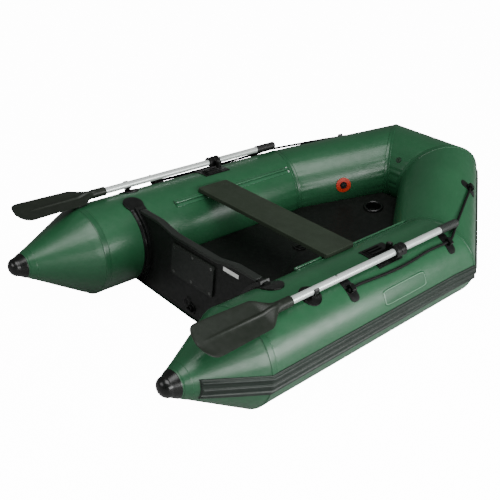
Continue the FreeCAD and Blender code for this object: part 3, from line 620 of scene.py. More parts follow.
def refined(node: str, finish: Finish, bevel: float) -> bpy.types.Object:
    """Stand a smoothed copy of a CAD part in its place, its hard edges rounded.

    The copy's loose triangles are merged and shaded smooth; a bevel of two segments takes the
    sharp edges off.

    Args:
        node: CAD node.
        finish: What it is made of.
        bevel: Width of the rounding, or 0 for none.

    Returns:
        The new object.
    """
    mesh = frame["nodes"][node].data.copy()
    mesh.name = node + "_part"
    mesh.materials.clear()
    merge_copy(mesh)
    piece = finished(mesh, finish, node_body(node), (node,))
    if bevel > 0:
        rounding = piece.modifiers.new("rounding", "BEVEL")
        rounding.width = bevel
        rounding.segments = 2
        rounding.limit_method = "ANGLE"
        rounding.angle_limit = math.radians(BEVEL_ANGLE)
        rounding.harden_normals = True
    return piece


def merge_copy(mesh: bpy.types.Mesh) -> None:
    """Merge doubles, join coplanar triangles and shade smooth below the sharp angle.

    Args:
        mesh: The copy's mesh.
    """
    work = bmesh.new()
    work.from_mesh(mesh)
    bmesh.ops.remove_doubles(work, verts=work.verts, dist=1e-6)
    bmesh.ops.dissolve_limit(work, angle_limit=math.radians(0.5), verts=work.verts,
                             edges=work.edges, delimit=set())
    work.to_mesh(mesh)
    work.free()
    mesh.polygons.foreach_set("use_smooth", np.ones(len(mesh.polygons), bool))
    mesh.set_sharp_from_angle(angle=math.radians(SHARP_ANGLE))


def refine_all(*rows: tuple[str, Finish, float]) -> None:
    """Refine several CAD parts, each given as its node, its finish and its bevel."""
    for row in rows:
        refined(*row)


# ------------------------------------------------------------------ hull geometry
@dataclass(frozen=True)
class TubeAxis:
    """One straight tube: its axis runs from start to end, angles turn from outboard upwards."""

    start: tuple[float, float, float]
    end: tuple[float, float, float]
    radius: float

    @property
    def axes(self) -> tuple[Array, Array, Array]:
        """Unit vectors along the tube, outboard and up."""
        along = np.subtract(self.end, self.start)
        along = along / np.linalg.norm(along)
        out = np.cross(UP, along)
        out /= np.linalg.norm(out)
        return along, out, np.cross(along, out)

    def at(self, x: Array, angle: Array, radius: Array) -> Array:
        """Points at a distance along the tube, an angle round it and a distance from its axis."""
        along, out, up = self.axes
        x, angle, radius = np.broadcast_arrays(x, angle, radius)
        spoke = np.cos(angle)[..., None] * out + np.sin(angle)[..., None] * up
        return np.asarray(self.start) + x[..., None] * along + radius[..., None] * spoke

    def reach(self, angle: Array, radius: Array, point: Array, normal: Array) -> Array:
        """Distance along the tube at which its wall meets a plane, for each angle."""
        wall = self.at(np.zeros_like(angle), angle, radius)
        return ((point - wall) @ normal) / (self.axes[0] @ normal)

    def angle_of(self, points: Array) -> Array:
        """Angle round the tube of each point."""
        _, out, up = self.axes
        offset = points - np.asarray(self.start)
        return np.arctan2(offset @ up, offset @ out)


@dataclass(frozen=True)
class HullForm:
    """Driving sizes of the hull, shared by everything that lies on a tube."""

    radius: float = 0.180
    half_spacing: float = 0.449
    cone_x: float = -0.757
    cone_rise: float = 0.0774
    cone_taper: float = 0.523
    cone_length: float = 0.293
    knee_x: float = 0.398
    corner: tuple[float, float, float] = (0.878, 0.134, 0.3155)

    @property
    def side(self) -> TubeAxis:
        """Port side tube, from the cone's seam to the knee."""
        return TubeAxis((self.cone_x, self.half_spacing, self.radius),
                        (self.knee_x, self.half_spacing, self.radius), self.radius)

    @property
    def bow(self) -> TubeAxis:
        """Port bow tube, from the knee to the corner."""
        return TubeAxis((self.knee_x, self.half_spacing, self.radius), self.corner, self.radius)

    @property
    def front(self) -> TubeAxis:
        """Cross tube, from the port corner to the starboard one."""
        x, y, z = self.corner
        return TubeAxis(self.corner, (x, -y, z), self.radius)

    @staticmethod
    def mitre(first: TubeAxis, second: TubeAxis) -> tuple[Array, Array]:
        """Point and normal of the plane in which two tubes meet."""
        normal = first.axes[0] + second.axes[0]
        return np.asarray(second.start), normal / np.linalg.norm(normal)


FORM = HullForm()


def mirror(points: Array, side: Side) -> Array:
    """Points built to port, put on a side."""
    return points * np.array([1.0, side.value, 1.0])


def crowded(count: int, power: float = 1.6) -> Array:
    """Parameters from 0 to 1 that crowd towards both ends."""
    t = np.linspace(-1, 1, count)
    return 0.5 + 0.5 * np.sign(t) * (1 - (1 - np.abs(t)) ** power)


@dataclass
class Skins:
    """Inflated fabric of the tubes, with a pinch and small puckers beside every seam."""

    form: HullForm = FORM
    around: int = 192
    pinch: float = 0.0012
    pinch_width: float = 0.016
    waves: tuple[tuple[int, float, float], ...] = ((31, 1.0, 1.0), (47, 0.7, 2.1), (19, 0.5, 3.7))
    waves_start: float = 0.010
    pucker: float = 0.00024
    pucker_reach: float = 0.060
    fold: float = 0.0006

    def relief(self, distance: Array, angle: Array, phase: float, inboard: float = 1.0) -> Array:
        """How far the fabric leaves a true tube beside a seam.

        A Gaussian pinch on the seam, plus waves round the tube that die away along it.  The
        waves are three sines of unlike pitch, and stronger on the inboard side where the
        fabric is crowded.

        Args:
            distance: Distance from the seam.
            angle: Angle round the tube.
            phase: Start of the waves, so that seams differ.
            inboard: How much stronger the folds are inboard.

        Returns:
            Offset of the radius.
        """
        crowd = np.clip(-np.cos(angle), 0, 1) ** 3 * inboard
        waves = sum(size * np.sin(count * angle + shift * phase)
                    for count, size, shift in self.waves)
        fade = np.exp(-distance / self.pucker_reach)
        onset = 1 - np.exp(-(distance / self.waves_start) ** 2)
        amount = self.pucker + self.fold * crowd
        pinched = self.pinch * np.exp(-(distance / self.pinch_width) ** 2)
        return amount * fade * (waves * onset - 1) - pinched

    def build(self) -> None:
        """Make the five tubes."""
        for side in Side:
            self._side_tube(side)
            self._bow_tube(side)
        self._cross_tube()

    def _angles(self) -> Array:
        """Angles round a tube, one loop."""
        return np.linspace(0, TAU, self.around, endpoint=False)

    def _skin(self, name: str, points: Array, lengths: Array, node: str) -> None:
        """Make one tube, with UVs of length along by arc round, in metres.

        Args:
            name: Name of the piece.
            points: Its grid.
            lengths: Distance along the tube of each point.
            node: The CAD tube that it stands for.
        """
        arc = np.linspace(0, TAU * self.form.radius, self.around + 1)
        along = np.concatenate([lengths, lengths[:, :1]], axis=1)
        uv = np.stack([along, np.broadcast_to(arc, along.shape)], axis=-1)
        Surface(name, points, uv).build(Finishes.HULL, "hull", "hull_pvc", node)

    def _side_tube(self, side: Side) -> None:
        """Stern cone and side tube in one: a radius that tapers aft of the seam.

        Args:
            side: The side of the boat.
        """
        form, axis = self.form, self.form.side
        angle = self._angles()[None, :]
        knee_point, knee_normal = form.mitre(axis, form.bow)
        end = axis.reach(angle[0], form.radius, knee_point, knee_normal)[None, :]
        cone = -form.cone_length * (1 - crowded(46))[:, None] * np.ones_like(angle)
        tube = crowded(150)[1:, None] * end
        x = np.concatenate([cone, tube])
        aft = np.maximum(-x, 0)
        seam = self.relief(np.abs(x), angle, 1.3, 0.0)
        knee = self.relief(np.maximum(end - x, 0), angle, 4.1)
        scale = 1 - form.cone_taper * aft / form.radius
        radius = form.radius * scale + (seam + knee) * scale
        points = axis.at(x, angle, radius) + (aft * form.cone_rise)[..., None] * UP
        self._skin("%s_side_skin" % side.word, mirror(points, side), x, "%s_side_tube" % side.word)

    def _bow_tube(self, side: Side) -> None:
        """Straight tube cut by the knee's and the corner's planes.

        Args:
            side: The side of the boat.
        """
        form, axis = self.form, self.form.bow
        angle = self._angles()[None, :]
        low = axis.reach(angle[0], form.radius, *form.mitre(form.side, axis))[None, :]
        high = axis.reach(angle[0], form.radius, *form.mitre(axis, form.front))[None, :]
        x = low + crowded(110)[:, None] * (high - low)
        radius = form.radius + self.relief(x - low, angle, 4.1) + self.relief(high - x, angle, 2.6)
        points = mirror(axis.at(x, angle, radius), side)
        self._skin("%s_bow_skin" % side.word, points, x, "%s_bow_tube" % side.word)

    def _cross_tube(self) -> None:
        """Straight tube cut by both corners' planes, even about the centre line."""
        form, axis = self.form, self.form.front
        angle = self._angles()[None, :]
        low = axis.reach(angle[0], form.radius, *form.mitre(form.bow, axis))[None, :]
        length = 2 * form.corner[1]
        high = length - low
        x = low + crowded(70)[:, None] * (high - low)
        radius = form.radius + self.relief(x - low, angle, 2.6) + self.relief(high - x, angle, 2.6)
        self._skin("cross_skin", axis.at(x, angle, radius), x, "bow_cross_tube")


@dataclass
class SeamTapes:
    """Welded tapes over the seams: thin bands whose section is a flat top with rounded edges."""

    form: HullForm = FORM
    half_width: float = 0.013
    thickness: float = 0.0007
    sunk: float = 0.0020
    tip_at: float = -0.236
    around: int = 240

    def build(self) -> None:
        """Make the knee, corner and cone tapes as one piece a side and seam."""
        for side in Side:
            self._mitre("knee", self.form.side, self.form.bow, side)
            self._mitre("corner", self.form.bow, self.form.front, side)
            self._cone("cone", self.half_width, side)
            self._cone("tip", self.tip_at, side)

    def _section(self) -> tuple[Array, Array]:
        """Closed section: place across the tape from -1 to 1, and height over the tube."""
        across = np.linspace(-1, 1, 15)
        top = self.thickness * (1 - np.abs(across) ** 10) + 0.0001
        return (np.concatenate([across, across[::-1]]),
                np.concatenate([top, np.full_like(across, -self.sunk)]))

    def _finish(self, name: str, points: Array, side: Side) -> None:
        """Close a band into a ring; the port knee's stands for the CAD tapes.

        Args:
            name: The tape's name without its side.
            points: Its grid, as it lies to port.
            side: The side of the boat.
        """
        points = mirror(points, side)
        points[..., 2] = np.maximum(points[..., 2], 0.0002)
        replaced = ("seam_tapes",) if (name, side) == ("knee", Side.PORT) else ()
        Surface.plain("%s_%s_tape" % (side.word, name), points, 1.1, 0.06, ring=True).build(
            Finishes.TAPE, "hull", "hull_pvc", *replaced)

    def _cone(self, name: str, middle: float, side: Side) -> None:
        """Ring round the cone or the end of the side tube.

        Args:
            name: The tape's name without its side.
            middle: Place of its middle along the tube.
            side: The side of the boat.
        """
        across, height = self._section()
        angle = np.linspace(0, TAU, self.around, endpoint=False)[:, None]
        x = middle + across[None, :] * self.half_width + 0 * angle
        aft = np.maximum(-x, 0)
        radius = self.form.radius - self.form.cone_taper * aft + height[None, :]
        points = self.form.side.at(x, angle, radius) + (aft * self.form.cone_rise)[..., None] * UP
        self._finish(name, points, side)

    def _mitre(self, name: str, first: TubeAxis, second: TubeAxis, side: Side) -> None:
        """Band folded over the edge in which two tubes meet.

        Args:
            name: The tape's name without its side.
            first: The tube on one side of the seam.
            second: The tube on the other.
            side: The side of the boat.
        """
        across, height = self._section()
        angle = np.linspace(0, TAU, self.around, endpoint=False)
        plane = self.form.mitre(first, second)
        here = first.reach(angle, self.form.radius, *plane)
        twin = second.angle_of(first.at(here, angle, self.form.radius))
        there = second.reach(twin, self.form.radius, *plane)
        step = across[None, :] * self.half_width
        back = first.at(here[:, None] + step, angle[:, None], self.form.radius + height[None, :])
        ahead = second.at(there[:, None] + step, twin[:, None], self.form.radius + height[None, :])
        mix = np.clip(0.5 + across * 4, 0, 1)[None, :, None]
        self._finish(name, back * (1 - mix) + ahead * mix, side)


@dataclass
class Strake:
    """Rubbing strake: a flat strip with three rounded ribs, carried round the whole hull."""

    form: HullForm = FORM
    width: float = 0.076
    base: float = 0.0040
    rib: float = 0.0088
    rib_half: float = 0.0062
    rib_pitch: float = 0.024
    sunk: float = 0.003
    aft_reach: float = 0.205
    blend_rows: int = 9

    def _profile(self) -> tuple[Array, Array]:
        """Place round the tube as an arc, and height over it, as one closed loop.

        Each rib is a raised cosine on a flat strip whose edges fall in a quarter round.
        """
        arc = np.linspace(-self.width / 2, self.width / 2, 85)
        height = np.full_like(arc, self.base)
        for centre in (-self.rib_pitch, 0.0, self.rib_pitch):
            near = np.clip(1 - np.abs(arc - centre) / self.rib_half, 0, 1)
            height += (self.rib - self.base) * np.sin(near * math.pi / 2) ** 0.8
        edge = np.clip((self.width / 2 - np.abs(arc)) / self.base, 0, 1)
        height *= np.sqrt(1 - (1 - edge) ** 2)
        return (np.concatenate([arc, arc[::-1]]),
                np.concatenate([height + 0.0002, np.full_like(arc, -self.sunk)]))

    def build(self) -> None:
        """Make the strake in one length, from the port cone round the bow to starboard."""
        arc, height = self._profile()
        port = self._half(arc, height)
        starboard = mirror(port, Side.STARBOARD)[::-1]
        points = np.concatenate([port, starboard[1:]])
        Surface.plain("rubbing_strake", points, 5.0, 0.16).build(
            Finishes.STRAKE, "hull", "strake_rubber", "side_strakes", "bow_strakes")

    def _half(self, arc: Array, height: Array) -> Array:
        """Rows of the port half, blended across the knee and the corner."""
        form = self.form
        angle = (arc / form.radius)[None, :]
        lift = form.radius + height[None, :]
        cone_x = np.linspace(-self.aft_reach, 0, 40)[:, None] + 0 * angle
        scale = 1 + form.cone_taper * cone_x / form.radius
        cone = form.side.at(cone_x, angle / scale, form.radius * scale + height[None, :])
        cone += (-cone_x * form.cone_rise)[..., None] * UP
        runs = [cone]
        ends = [(form.side, None, form.bow), (form.bow, form.side, form.front)]
        for axis, before, after in ends:
            low = np.zeros_like(angle) if before is None else axis.reach(
                angle[0], lift[0], *form.mitre(before, axis))[None, :]
            high = axis.reach(angle[0], lift[0], *form.mitre(axis, after))[None, :]
            x = low + np.linspace(0, 1, 60)[:, None] * (high - low)
            runs.append(axis.at(x, angle, lift))
        low = form.front.reach(angle[0], lift[0], *form.mitre(form.bow, form.front))[None, :]
        x = low + np.linspace(0, 1, 14)[:, None] * (form.corner[1] - low)
        runs.append(form.front.at(x, angle, lift))
        return self._joined(runs)

    def _joined(self, runs: list[Array]) -> Array:
        """Join runs end to end, drawing both sides of a joint to their mean over a few rows.

        Args:
            runs: Their grids, in order.

        Returns:
            One grid.
        """
        count = self.blend_rows
        fade = np.linspace(1, 0, count)[:, None, None]
        for left, right in zip(runs, runs[1:]):
            middle = (left[-1] + right[0]) / 2
            left[-count:] += (middle - left[-1])[None] * fade[::-1]
            right[:count] += (middle - right[0])[None] * fade
        return np.concatenate([runs[0]] + [run[1:] for run in runs[1:]])


@dataclass
class SternCaps:
    """Moulded cups on the cone ends: a straight skirt, a lip and an elliptical nose."""

    form: HullForm = FORM
    tip: float = 0.310
    length: float = 0.057
    nose: float = 0.030
    wall: float = 0.0025
    around: int = 96

    def build(self) -> None:
        """Make both caps."""
        base = self.tip - self.length
        t = np.linspace(0, 1, 40)
        skirt = self.length - self.nose
        along = np.concatenate([np.array([-0.004, 0.0]), np.linspace(0.0015, skirt, 16),
                                skirt + self.nose * np.sin(t[1:] * math.pi / 2)])
        radius0 = self.form.radius - self.form.cone_taper * base
        straight = radius0 + self.wall - self.form.cone_taper * np.clip(along, 0, skirt)
        past = np.clip(along - skirt, 0, self.nose) / self.nose
        round_off = np.sqrt(np.clip(1 - past ** 2, 0, 1))
        radius = straight * np.maximum(round_off, 0.01)
        radius[0], radius[1] = radius0 - 0.004, radius0 + 0.0005
        angle = np.linspace(0, TAU, self.around, endpoint=False)[None, :]
        x = -(base + along)[:, None] + 0 * angle
        points = self.form.side.at(x, angle, radius[:, None])
        points += ((base + along)[:, None] * self.form.cone_rise)[..., None] * UP
        for side in Side:
            replaced = ("stern_caps",) if side is Side.PORT else ()
            Surface.plain("%s_stern_cap" % side.word, mirror(points, side), along, 0.3).build(
                Finishes.CAP, "hull", "cap_rubber", *replaced)


@dataclass
class Hull:
    """The inflated hull with everything welded round it."""

    def build(self) -> None:
        """Make the skins, tapes, strake, caps and bottom."""
        Skins().build()
        SeamTapes().build()
        Strake().build()
        SternCaps().build()
        refined("hull_bottom", Finishes.BOTTOM, 0.0)
        refined("inflatable_keel", Finishes.BOTTOM, 0.0)
        refined("chamber_bulkheads", Finishes.BOTTOM, 0.0)


# ------------------------------------------------------------------ stern
@dataclass
class Transom:
    """Rigid stern board with its holders, motor plates, drain and blank label."""

    aft_face: float = -0.551
    thickness: float = 0.025
    top: float = 0.350
    half_width: float = 0.3305
    step: float = 0.215
    notch: float = 0.120
    notch_depth: float = 0.020
    trim_wall: float = 0.0026
    trim_drop: float = 0.011

    def _trim(self) -> None:
        """Moulded edge trim over the board's top.

        A superellipse section |x/a|^6 + |z/b|^6 = 1 carried along the top edge: level, down a
        slope into the notch, level, and up again.
        """
        y = np.linspace(-self.half_width, self.half_width, 241)
        slope = np.clip((self.step - np.abs(y)) / (self.step - self.notch), 0, 1)
        edge = self.top - self.notch_depth * slope
        turn = np.linspace(0, TAU, 48, endpoint=False)
        half_x = self.thickness / 2 + self.trim_wall
        half_z = (self.trim_drop + self.trim_wall) / 2
        across = half_x * squared(np.cos(turn), 1 / 3)
        upright = half_z * squared(np.sin(turn), 1 / 3)
        middle = edge + self.trim_wall - half_z
        x = self.aft_face + self.thickness / 2 + across[None, :]
        z = middle[:, None] + upright[None, :]
        points = np.stack(np.broadcast_arrays(x, y[:, None], z), axis=-1)
        Surface.plain("transom_edge_trim", points, y, 0.08).build(
            Finishes.TRIM, "hull", "transom_paint")

    def build(self) -> None:
        """Refine the CAD parts and add the edge trim."""
        self._trim()
        refine_all(("transom_board", Finishes.BOARD, 0.0015),
                   ("transom_holders", Finishes.HOLDER, 0.0020),
                   ("outer_motor_plate", Finishes.PLATE, 0.0020),
                   ("inner_motor_pad", Finishes.PLATE, 0.0020),
                   ("motor_plate_screws", Finishes.SCREW, 0.0),
                   ("drain_socket", Finishes.BLACK, 0.0010),
                   ("drain_bung", Finishes.BLACK, 0.0010),
                   ("drain_leash", Finishes.BLACK, 0.0),
                   ("blank_data_plate", Finishes.LABEL, 0.0))


# ------------------------------------------------------------------ floor and fittings
@dataclass
class AirFloor:
    """Inflated floor panel, its valves, and the padded collar round the keel valve's well."""

    valve_x: float = 0.575
    deck_bend: float = 0.330
    deck_height: float = 0.140
    deck_slope: float = 0.22
    collar_radius: float = 0.0400
    collar_tube: float = 0.0082
    collar_crown: float = 1.25
    collar_foot: float = 0.0010

    def _collar(self) -> None:
        """Ring on the sloping deck: a torus whose upper half is raised a quarter more.

        (R + r cos v) round the valve's axis, and 1.25 r sin v above the deck where it is
        positive, flattened to a millimetre below it elsewhere.
        """
        turn = np.linspace(0, TAU, 120, endpoint=False)[:, None]
        section = np.linspace(0, TAU, 40, endpoint=False)[None, :]
        spread = self.collar_radius + self.collar_tube * np.cos(section)
        crown = self.collar_crown * self.collar_tube
        rise = np.where(np.sin(section) > 0, crown, self.collar_foot) * np.sin(section)
        flat = np.stack(np.broadcast_arrays(spread * np.cos(turn), spread * np.sin(turn), rise),
                        axis=-1)
        tilt = math.atan(self.deck_slope)
        ahead = np.array([math.cos(tilt), 0.0, math.sin(tilt)])
        normal = np.array([-math.sin(tilt), 0.0, math.cos(tilt)])
        centre = np.array([self.valve_x, 0.0, self.deck_height
                           + self.deck_slope * (self.valve_x - self.deck_bend)])
        points = (centre + flat[..., :1] * ahead + flat[..., 1:2] * np.array([0.0, 1.0, 0.0])
                  + flat[..., 2:] * normal)
        piece = Surface.plain("keel_valve_ring", points, 0.25, 0.05, ring=True).build(
            Finishes.CAP, "hull", "floor_fabric", "keel_valve_collar")

    def build(self) -> None:
        """Refine the floor and its fittings."""
        refined("air_floor", Finishes.FLOOR, 0.012)
        for node in ("floor_valve_body", "floor_valve_cap", "keel_valve_body", "keel_valve_cap"):
            refined(node, Finishes.BLACK, 0.0006)
        self._collar()


@dataclass
class TubeValves:
    """Inflation valve in the port bow tube and the small relief valve in the cross tube."""

    def build(self) -> None:
        """Refine the valve parts."""
        refine_all(("valve_flange", Finishes.RED, 0.0012),
                   ("valve_body", Finishes.BLACK, 0.0),
                   ("valve_cap", Finishes.BLACK, 0.0008),
                   ("bow_relief_valve", Finishes.RELIEF, 0.0008))


@dataclass
class Bench:
    """Sliding seat and its rails."""

    form: HullForm = FORM
    rail_start: float = -0.365
    rail_end: float = 0.322
    strip: tuple[float, float] = (121.0, 132.0)
    strip_thickness: float = 0.0025
    bead_angle: float = 126.0
    bead_lift: float = 0.0080
    bead_radius: float = 0.0045

    def _rails(self) -> None:
        """Bead rails: one closed section in the plane across the tube, carried along it.

        The section is the welded strip, from one edge to the other at a height h, which necks
        in to half a degree and opens into a circle of the bead's radius.
        """
        tube = self.form.radius
        low, high = (math.radians(value) for value in self.strip)
        bead, neck = math.radians(self.bead_angle), math.radians(0.5)
        under = np.linspace(high, low, 24)
        first = np.linspace(low, bead - neck, 14)
        last = np.linspace(bead + neck, high, 14)
        turn = np.linspace(-math.pi + 0.35, math.pi - 0.35, 33)
        ring_angle = bead + self.bead_radius * np.sin(turn) / (tube + self.bead_lift)
        ring_lift = self.bead_lift + self.bead_radius * np.cos(turn)
        strip = np.full_like(first, self.strip_thickness)
        strip[0] = strip[0] * 0.4
        angle = np.concatenate([under, first, ring_angle, last])
        lift = np.concatenate([np.full_like(under, -0.0005), strip, ring_lift, strip[::-1]])
        x = np.linspace(self.rail_start, self.rail_end, 40)[:, None] - self.form.cone_x
        points = self.form.side.at(x, angle[None, :], tube + lift[None, :])
        for side in Side:
            replaced = ("seat_rails",) if side is Side.PORT else ()
            Surface.plain("%s_seat_rail" % side.word, mirror(points, side), x[:, 0], 0.09).build(
                Finishes.RAIL, "hull", "rail_pvc", *replaced)

    def build(self) -> None:
        """Refine the seat parts and make the rails."""
        self._rails()
        refine_all(("seat_board", Finishes.SEAT, 0.0),
                   ("seat_slide_clips", Finishes.BLACK, 0.0010))


# ------------------------------------------------------------------ oars
@dataclass
class Oar:
    """One stowed oar with its rowlock: the shaft runs along X at one height and distance out."""

    side: Side
    axis_y: float = 0.522
    axis_z: float = 0.375
    blade_tip: float = -0.987
    blade_heel: float = -0.735
    blade_neck: float = -0.648
    ferrule_end: float = -0.592
    ferrule_radius: float = 0.0188
    blade_half: float = 0.070
    heel_half: float = 0.062
    tip_round: float = 0.050
    tip_power: float = 2.6
    port_roll: float = 6.0
    starboard_roll: float = -20.0
    blade_thickness: float = 0.0056
    spoon: float = 0.0045
    ridge: float = 0.0026
    ridge_half: float = 0.0075
    grip_start: float = 0.278
    grip_end: float = 0.399
    grip_radius: float = 0.0175
    groove_pitch: float = 0.0105
    groove_depth: float = 0.0011
    band_place: float = 0.0235
    band_half: float = 0.0034
    band_radius: float = 0.0222
    band_rise: float = 0.0022

    def build(self) -> None:
        """Refine the oar's plain parts and make its blade, its grip and the collar's bands."""
        word = self.side.word
        finishes = {"oar_lower_shaft": Finishes.ALLOY, "oar_upper_shaft": Finishes.ALLOY,
                    "oar_button": Finishes.SCREW, "oar_collar": Finishes.BLACK,
                    "rowlock_yoke": Finishes.BLACK, "rowlock_base": Finishes.BLACK}
        for part, finish in finishes.items():
            refined("%s_%s" % (word, part), finish, 0.0006 if finish is Finishes.ALLOY else 0.0012)
        self._blade()
        self._grip()
        for number, place in enumerate((-self.band_place, 0.0, self.band_place), 1):
            self._band(number, place)

    def _place(self, name: str, x: Array, y: Array, z: Array) -> Surface:
        """Put a grid built round the shaft's axis at the side of the boat, with plain UVs."""
        points = np.stack(np.broadcast_arrays(x, y + self.axis_y, z + self.axis_z), axis=-1)
        return Surface.plain(name, mirror(points, self.side), float(np.ptp(x)), 0.2)

    def _blade(self) -> None:
        """Spooned blade with a centre ridge that swells into the ferrule.

        Half width w(x) is a superellipse |1 - d/t|^2.6 at the tip, tapers evenly to the heel
        and falls in a cosine to the ferrule.  Half height is t/2 (1 - |y/w|^10) plus a
        triangular ridge, blended into the circle sqrt(w^2 - y^2) of the ferrule.  The edges
        lift by s (y/w)^2 to make the spoon.
        """
        stops = [self.blade_tip + self.tip_round * (1 - np.cos(np.linspace(0.02, math.pi / 2, 26))),
                 np.linspace(self.blade_tip + self.tip_round, self.blade_heel, 40)[1:],
                 np.linspace(self.blade_heel, self.blade_neck, 46)[1:],
                 np.linspace(self.blade_neck, self.ferrule_end, 12)[1:]]
        x = np.concatenate(stops)[:, None]
        near_tip = np.clip((x - self.blade_tip) / self.tip_round, 0, 1)
        rounding = (1 - (1 - near_tip) ** self.tip_power) ** (1 / self.tip_power)
        down = np.clip((x - self.blade_tip) / (self.blade_heel - self.blade_tip), 0, 1)
        wide = (self.blade_half + (self.heel_half - self.blade_half) * down) * rounding
        fall = np.clip((x - self.blade_heel) / (self.blade_neck - self.blade_heel), 0, 1)
        ease = 0.5 - 0.5 * np.cos(math.pi * fall)
        half = wide + (self.ferrule_radius - wide) * ease
        turn = np.linspace(0, TAU, 128, endpoint=False)[None, :]
        y = half * np.cos(turn)
        ratio = np.abs(np.cos(turn))
        swell = self.ridge * np.clip((x - self.blade_tip - 0.02) / 0.06, 0, 1) * (1 + 1.6 * down)
        flat = (self.blade_thickness / 2 * (1 - ratio ** 10) * (0.25 + 0.75 * rounding)
                + swell * np.clip(1 - np.abs(y) / self.ridge_half, 0, 1))
        round_part = np.sqrt(np.clip(half ** 2 - y ** 2, 0, None))
        join = np.clip(fall * 1.15 - 0.15, 0, 1) ** 2
        height = (1 - join) * flat + join * round_part
        camber = self.spoon * ((y / half) ** 2 - 0.4) * (1 - ease)
        z = np.sign(np.sin(turn)) * height + camber
        roll = math.radians(self.port_roll if self.side is Side.PORT else self.starboard_roll)
        y, z = y * math.cos(roll) - z * math.sin(roll), y * math.sin(roll) + z * math.cos(roll)
        self._place("%s_blade" % self.side.word, x, y, z).build(
            Finishes.BLADE, "%s_oar" % self.side.word, "oar_plastic",
            "%s_oar_blade" % self.side.word)

    def _band(self, number: int, place: float) -> None:
        """Raised band over the top of the collar, from one side to the other.

        The section is a superellipse |x/a|^4 + |r/b|^4 = 1 at radius R, carried from 5 to 175
        degrees about the shaft.

        Args:
            number: Its number, counted from 1.
            place: Its place along the shaft.
        """
        turn = np.linspace(math.radians(5), math.radians(175), 60)[:, None]
        section = np.linspace(0, TAU, 24, endpoint=False)[None, :]
        wide = self.band_half * squared(np.cos(section), 0.5)
        tall = self.band_rise * squared(np.sin(section), 0.5)
        radius = self.band_radius + tall
        self._place("%s_collar_band_%d" % (self.side.word, number), place + wide,
                    radius * np.cos(turn), radius * np.sin(turn)).build(
            Finishes.BLACK, "%s_oar" % self.side.word, node_slot("%s_oar_collar" % self.side.word))

    def _grip(self) -> None:
        """Grooved grip: R - d (0.5 - 0.5 cos(2 pi x / p))^3 round the axis, its ends rounded."""
        x = np.linspace(self.grip_start, self.grip_end, 180)[:, None]
        wave = 0.5 - 0.5 * np.cos(TAU * (x - self.grip_start) / self.groove_pitch)
        edge = np.clip(np.minimum(x - self.grip_start, self.grip_end - x) / 0.004, 0, 1)
        radius = (self.grip_radius - self.groove_depth * wave ** 3) * (
            0.80 + 0.20 * np.sqrt(1 - (1 - edge) ** 2))
        turn = np.linspace(0, TAU, 64, endpoint=False)[None, :]
        # The starboard grip is the same black rubber made lighter: a painted highlight.
        finish = Finishes.GRIP_BLACK if self.side is Side.PORT else Finishes.GRIP_PAINTED_HIGHLIGHT
        wide, tall = radius * np.cos(turn), radius * np.sin(turn)
        self._place("%s_grip" % self.side.word, x, wide, tall).build(
            finish, "%s_oar" % self.side.word, "grip_rubber", "%s_oar_grip" % self.side.word)


@dataclass
class SideBadge:
    """Blank badge welded on a side tube, with a raised line inside its edge."""

    form: HullForm = FORM
    middle: float = 0.720
    angle: float = 28.0
    length: float = 0.262
    height: float = 0.062
    corner: float = 0.016
    thickness: float = 0.0012
    line_inset: float = 0.0050
    line_half: float = 0.0013

    def _outline(self, inset: float) -> Array:
        """Superellipse-cornered rectangle: places along the tube and round it, one loop."""
        turn = np.linspace(0, TAU, 160, endpoint=False)
        half = np.array([self.length / 2 - inset, self.height / 2 - inset])
        return half * squared(np.stack([np.cos(turn), np.sin(turn)], axis=1), 2 / 9)

    def _lift(self, flat: Array, height: Array) -> Array:
        """Wrap places on the tube, raised by a height."""
        turn = math.radians(self.angle) + flat[..., 1] / self.form.radius
        return self.form.side.at(self.middle + flat[..., 0], turn, self.form.radius + height)

    def build(self) -> None:
        """Make the field and the line on each side."""
        loop = self._outline(0.0)
        inwards = np.linspace(0.03, 0.995, 14)
        scale = np.concatenate([inwards, [1.0, 1.0], inwards[::-1]])
        height = np.concatenate([np.full(14, self.thickness), [self.thickness - 0.0003, -0.0010],
                                 np.full(14, -0.0012)])
        level = height[:, None] + 0 * loop[None, :, 0]
        field = self._lift(scale[:, None, None] * loop[None], level)
        across = np.array([-1.0, -0.7, 0.7, 1.0, 1.0, -1.0])
        rise = np.array([0.0, 0.0006, 0.0006, 0.0, -0.0008, -0.0008]) + self.thickness
        rows = [self._outline(self.line_inset + self.line_half * float(step)) for step in across]
        line = self._lift(np.stack(rows, axis=1), rise[None, :] + 0 * loop[:, :1])
        for side in Side:
            replaced = ("blank_side_badges",) if side is Side.PORT else ()
            Surface.plain("%s_badge" % side.word, mirror(field, side), 0.3, 0.1).build(
                Finishes.TAPE, "hull", "badge_pvc", *replaced)
            Surface.plain("%s_badge_line" % side.word, mirror(line, side), 0.3, 0.1,
                          ring=True).build(Finishes.BADGE_LINE, "hull", "badge_pvc")


@dataclass
class DeckTrim:
    """Clips, pins and rope patches on the tubes."""

    def build(self) -> None:
        """Refine the trim."""
        refine_all(("rowlock_pins", Finishes.SCREW, 0.0006),
                   ("oar_clip_bases", Finishes.BLACK, 0.0010),
                   ("oar_clip_hooks", Finishes.BLACK, 0.0010),
                   ("grab_line_patches", Finishes.BLACK, 0.0008))


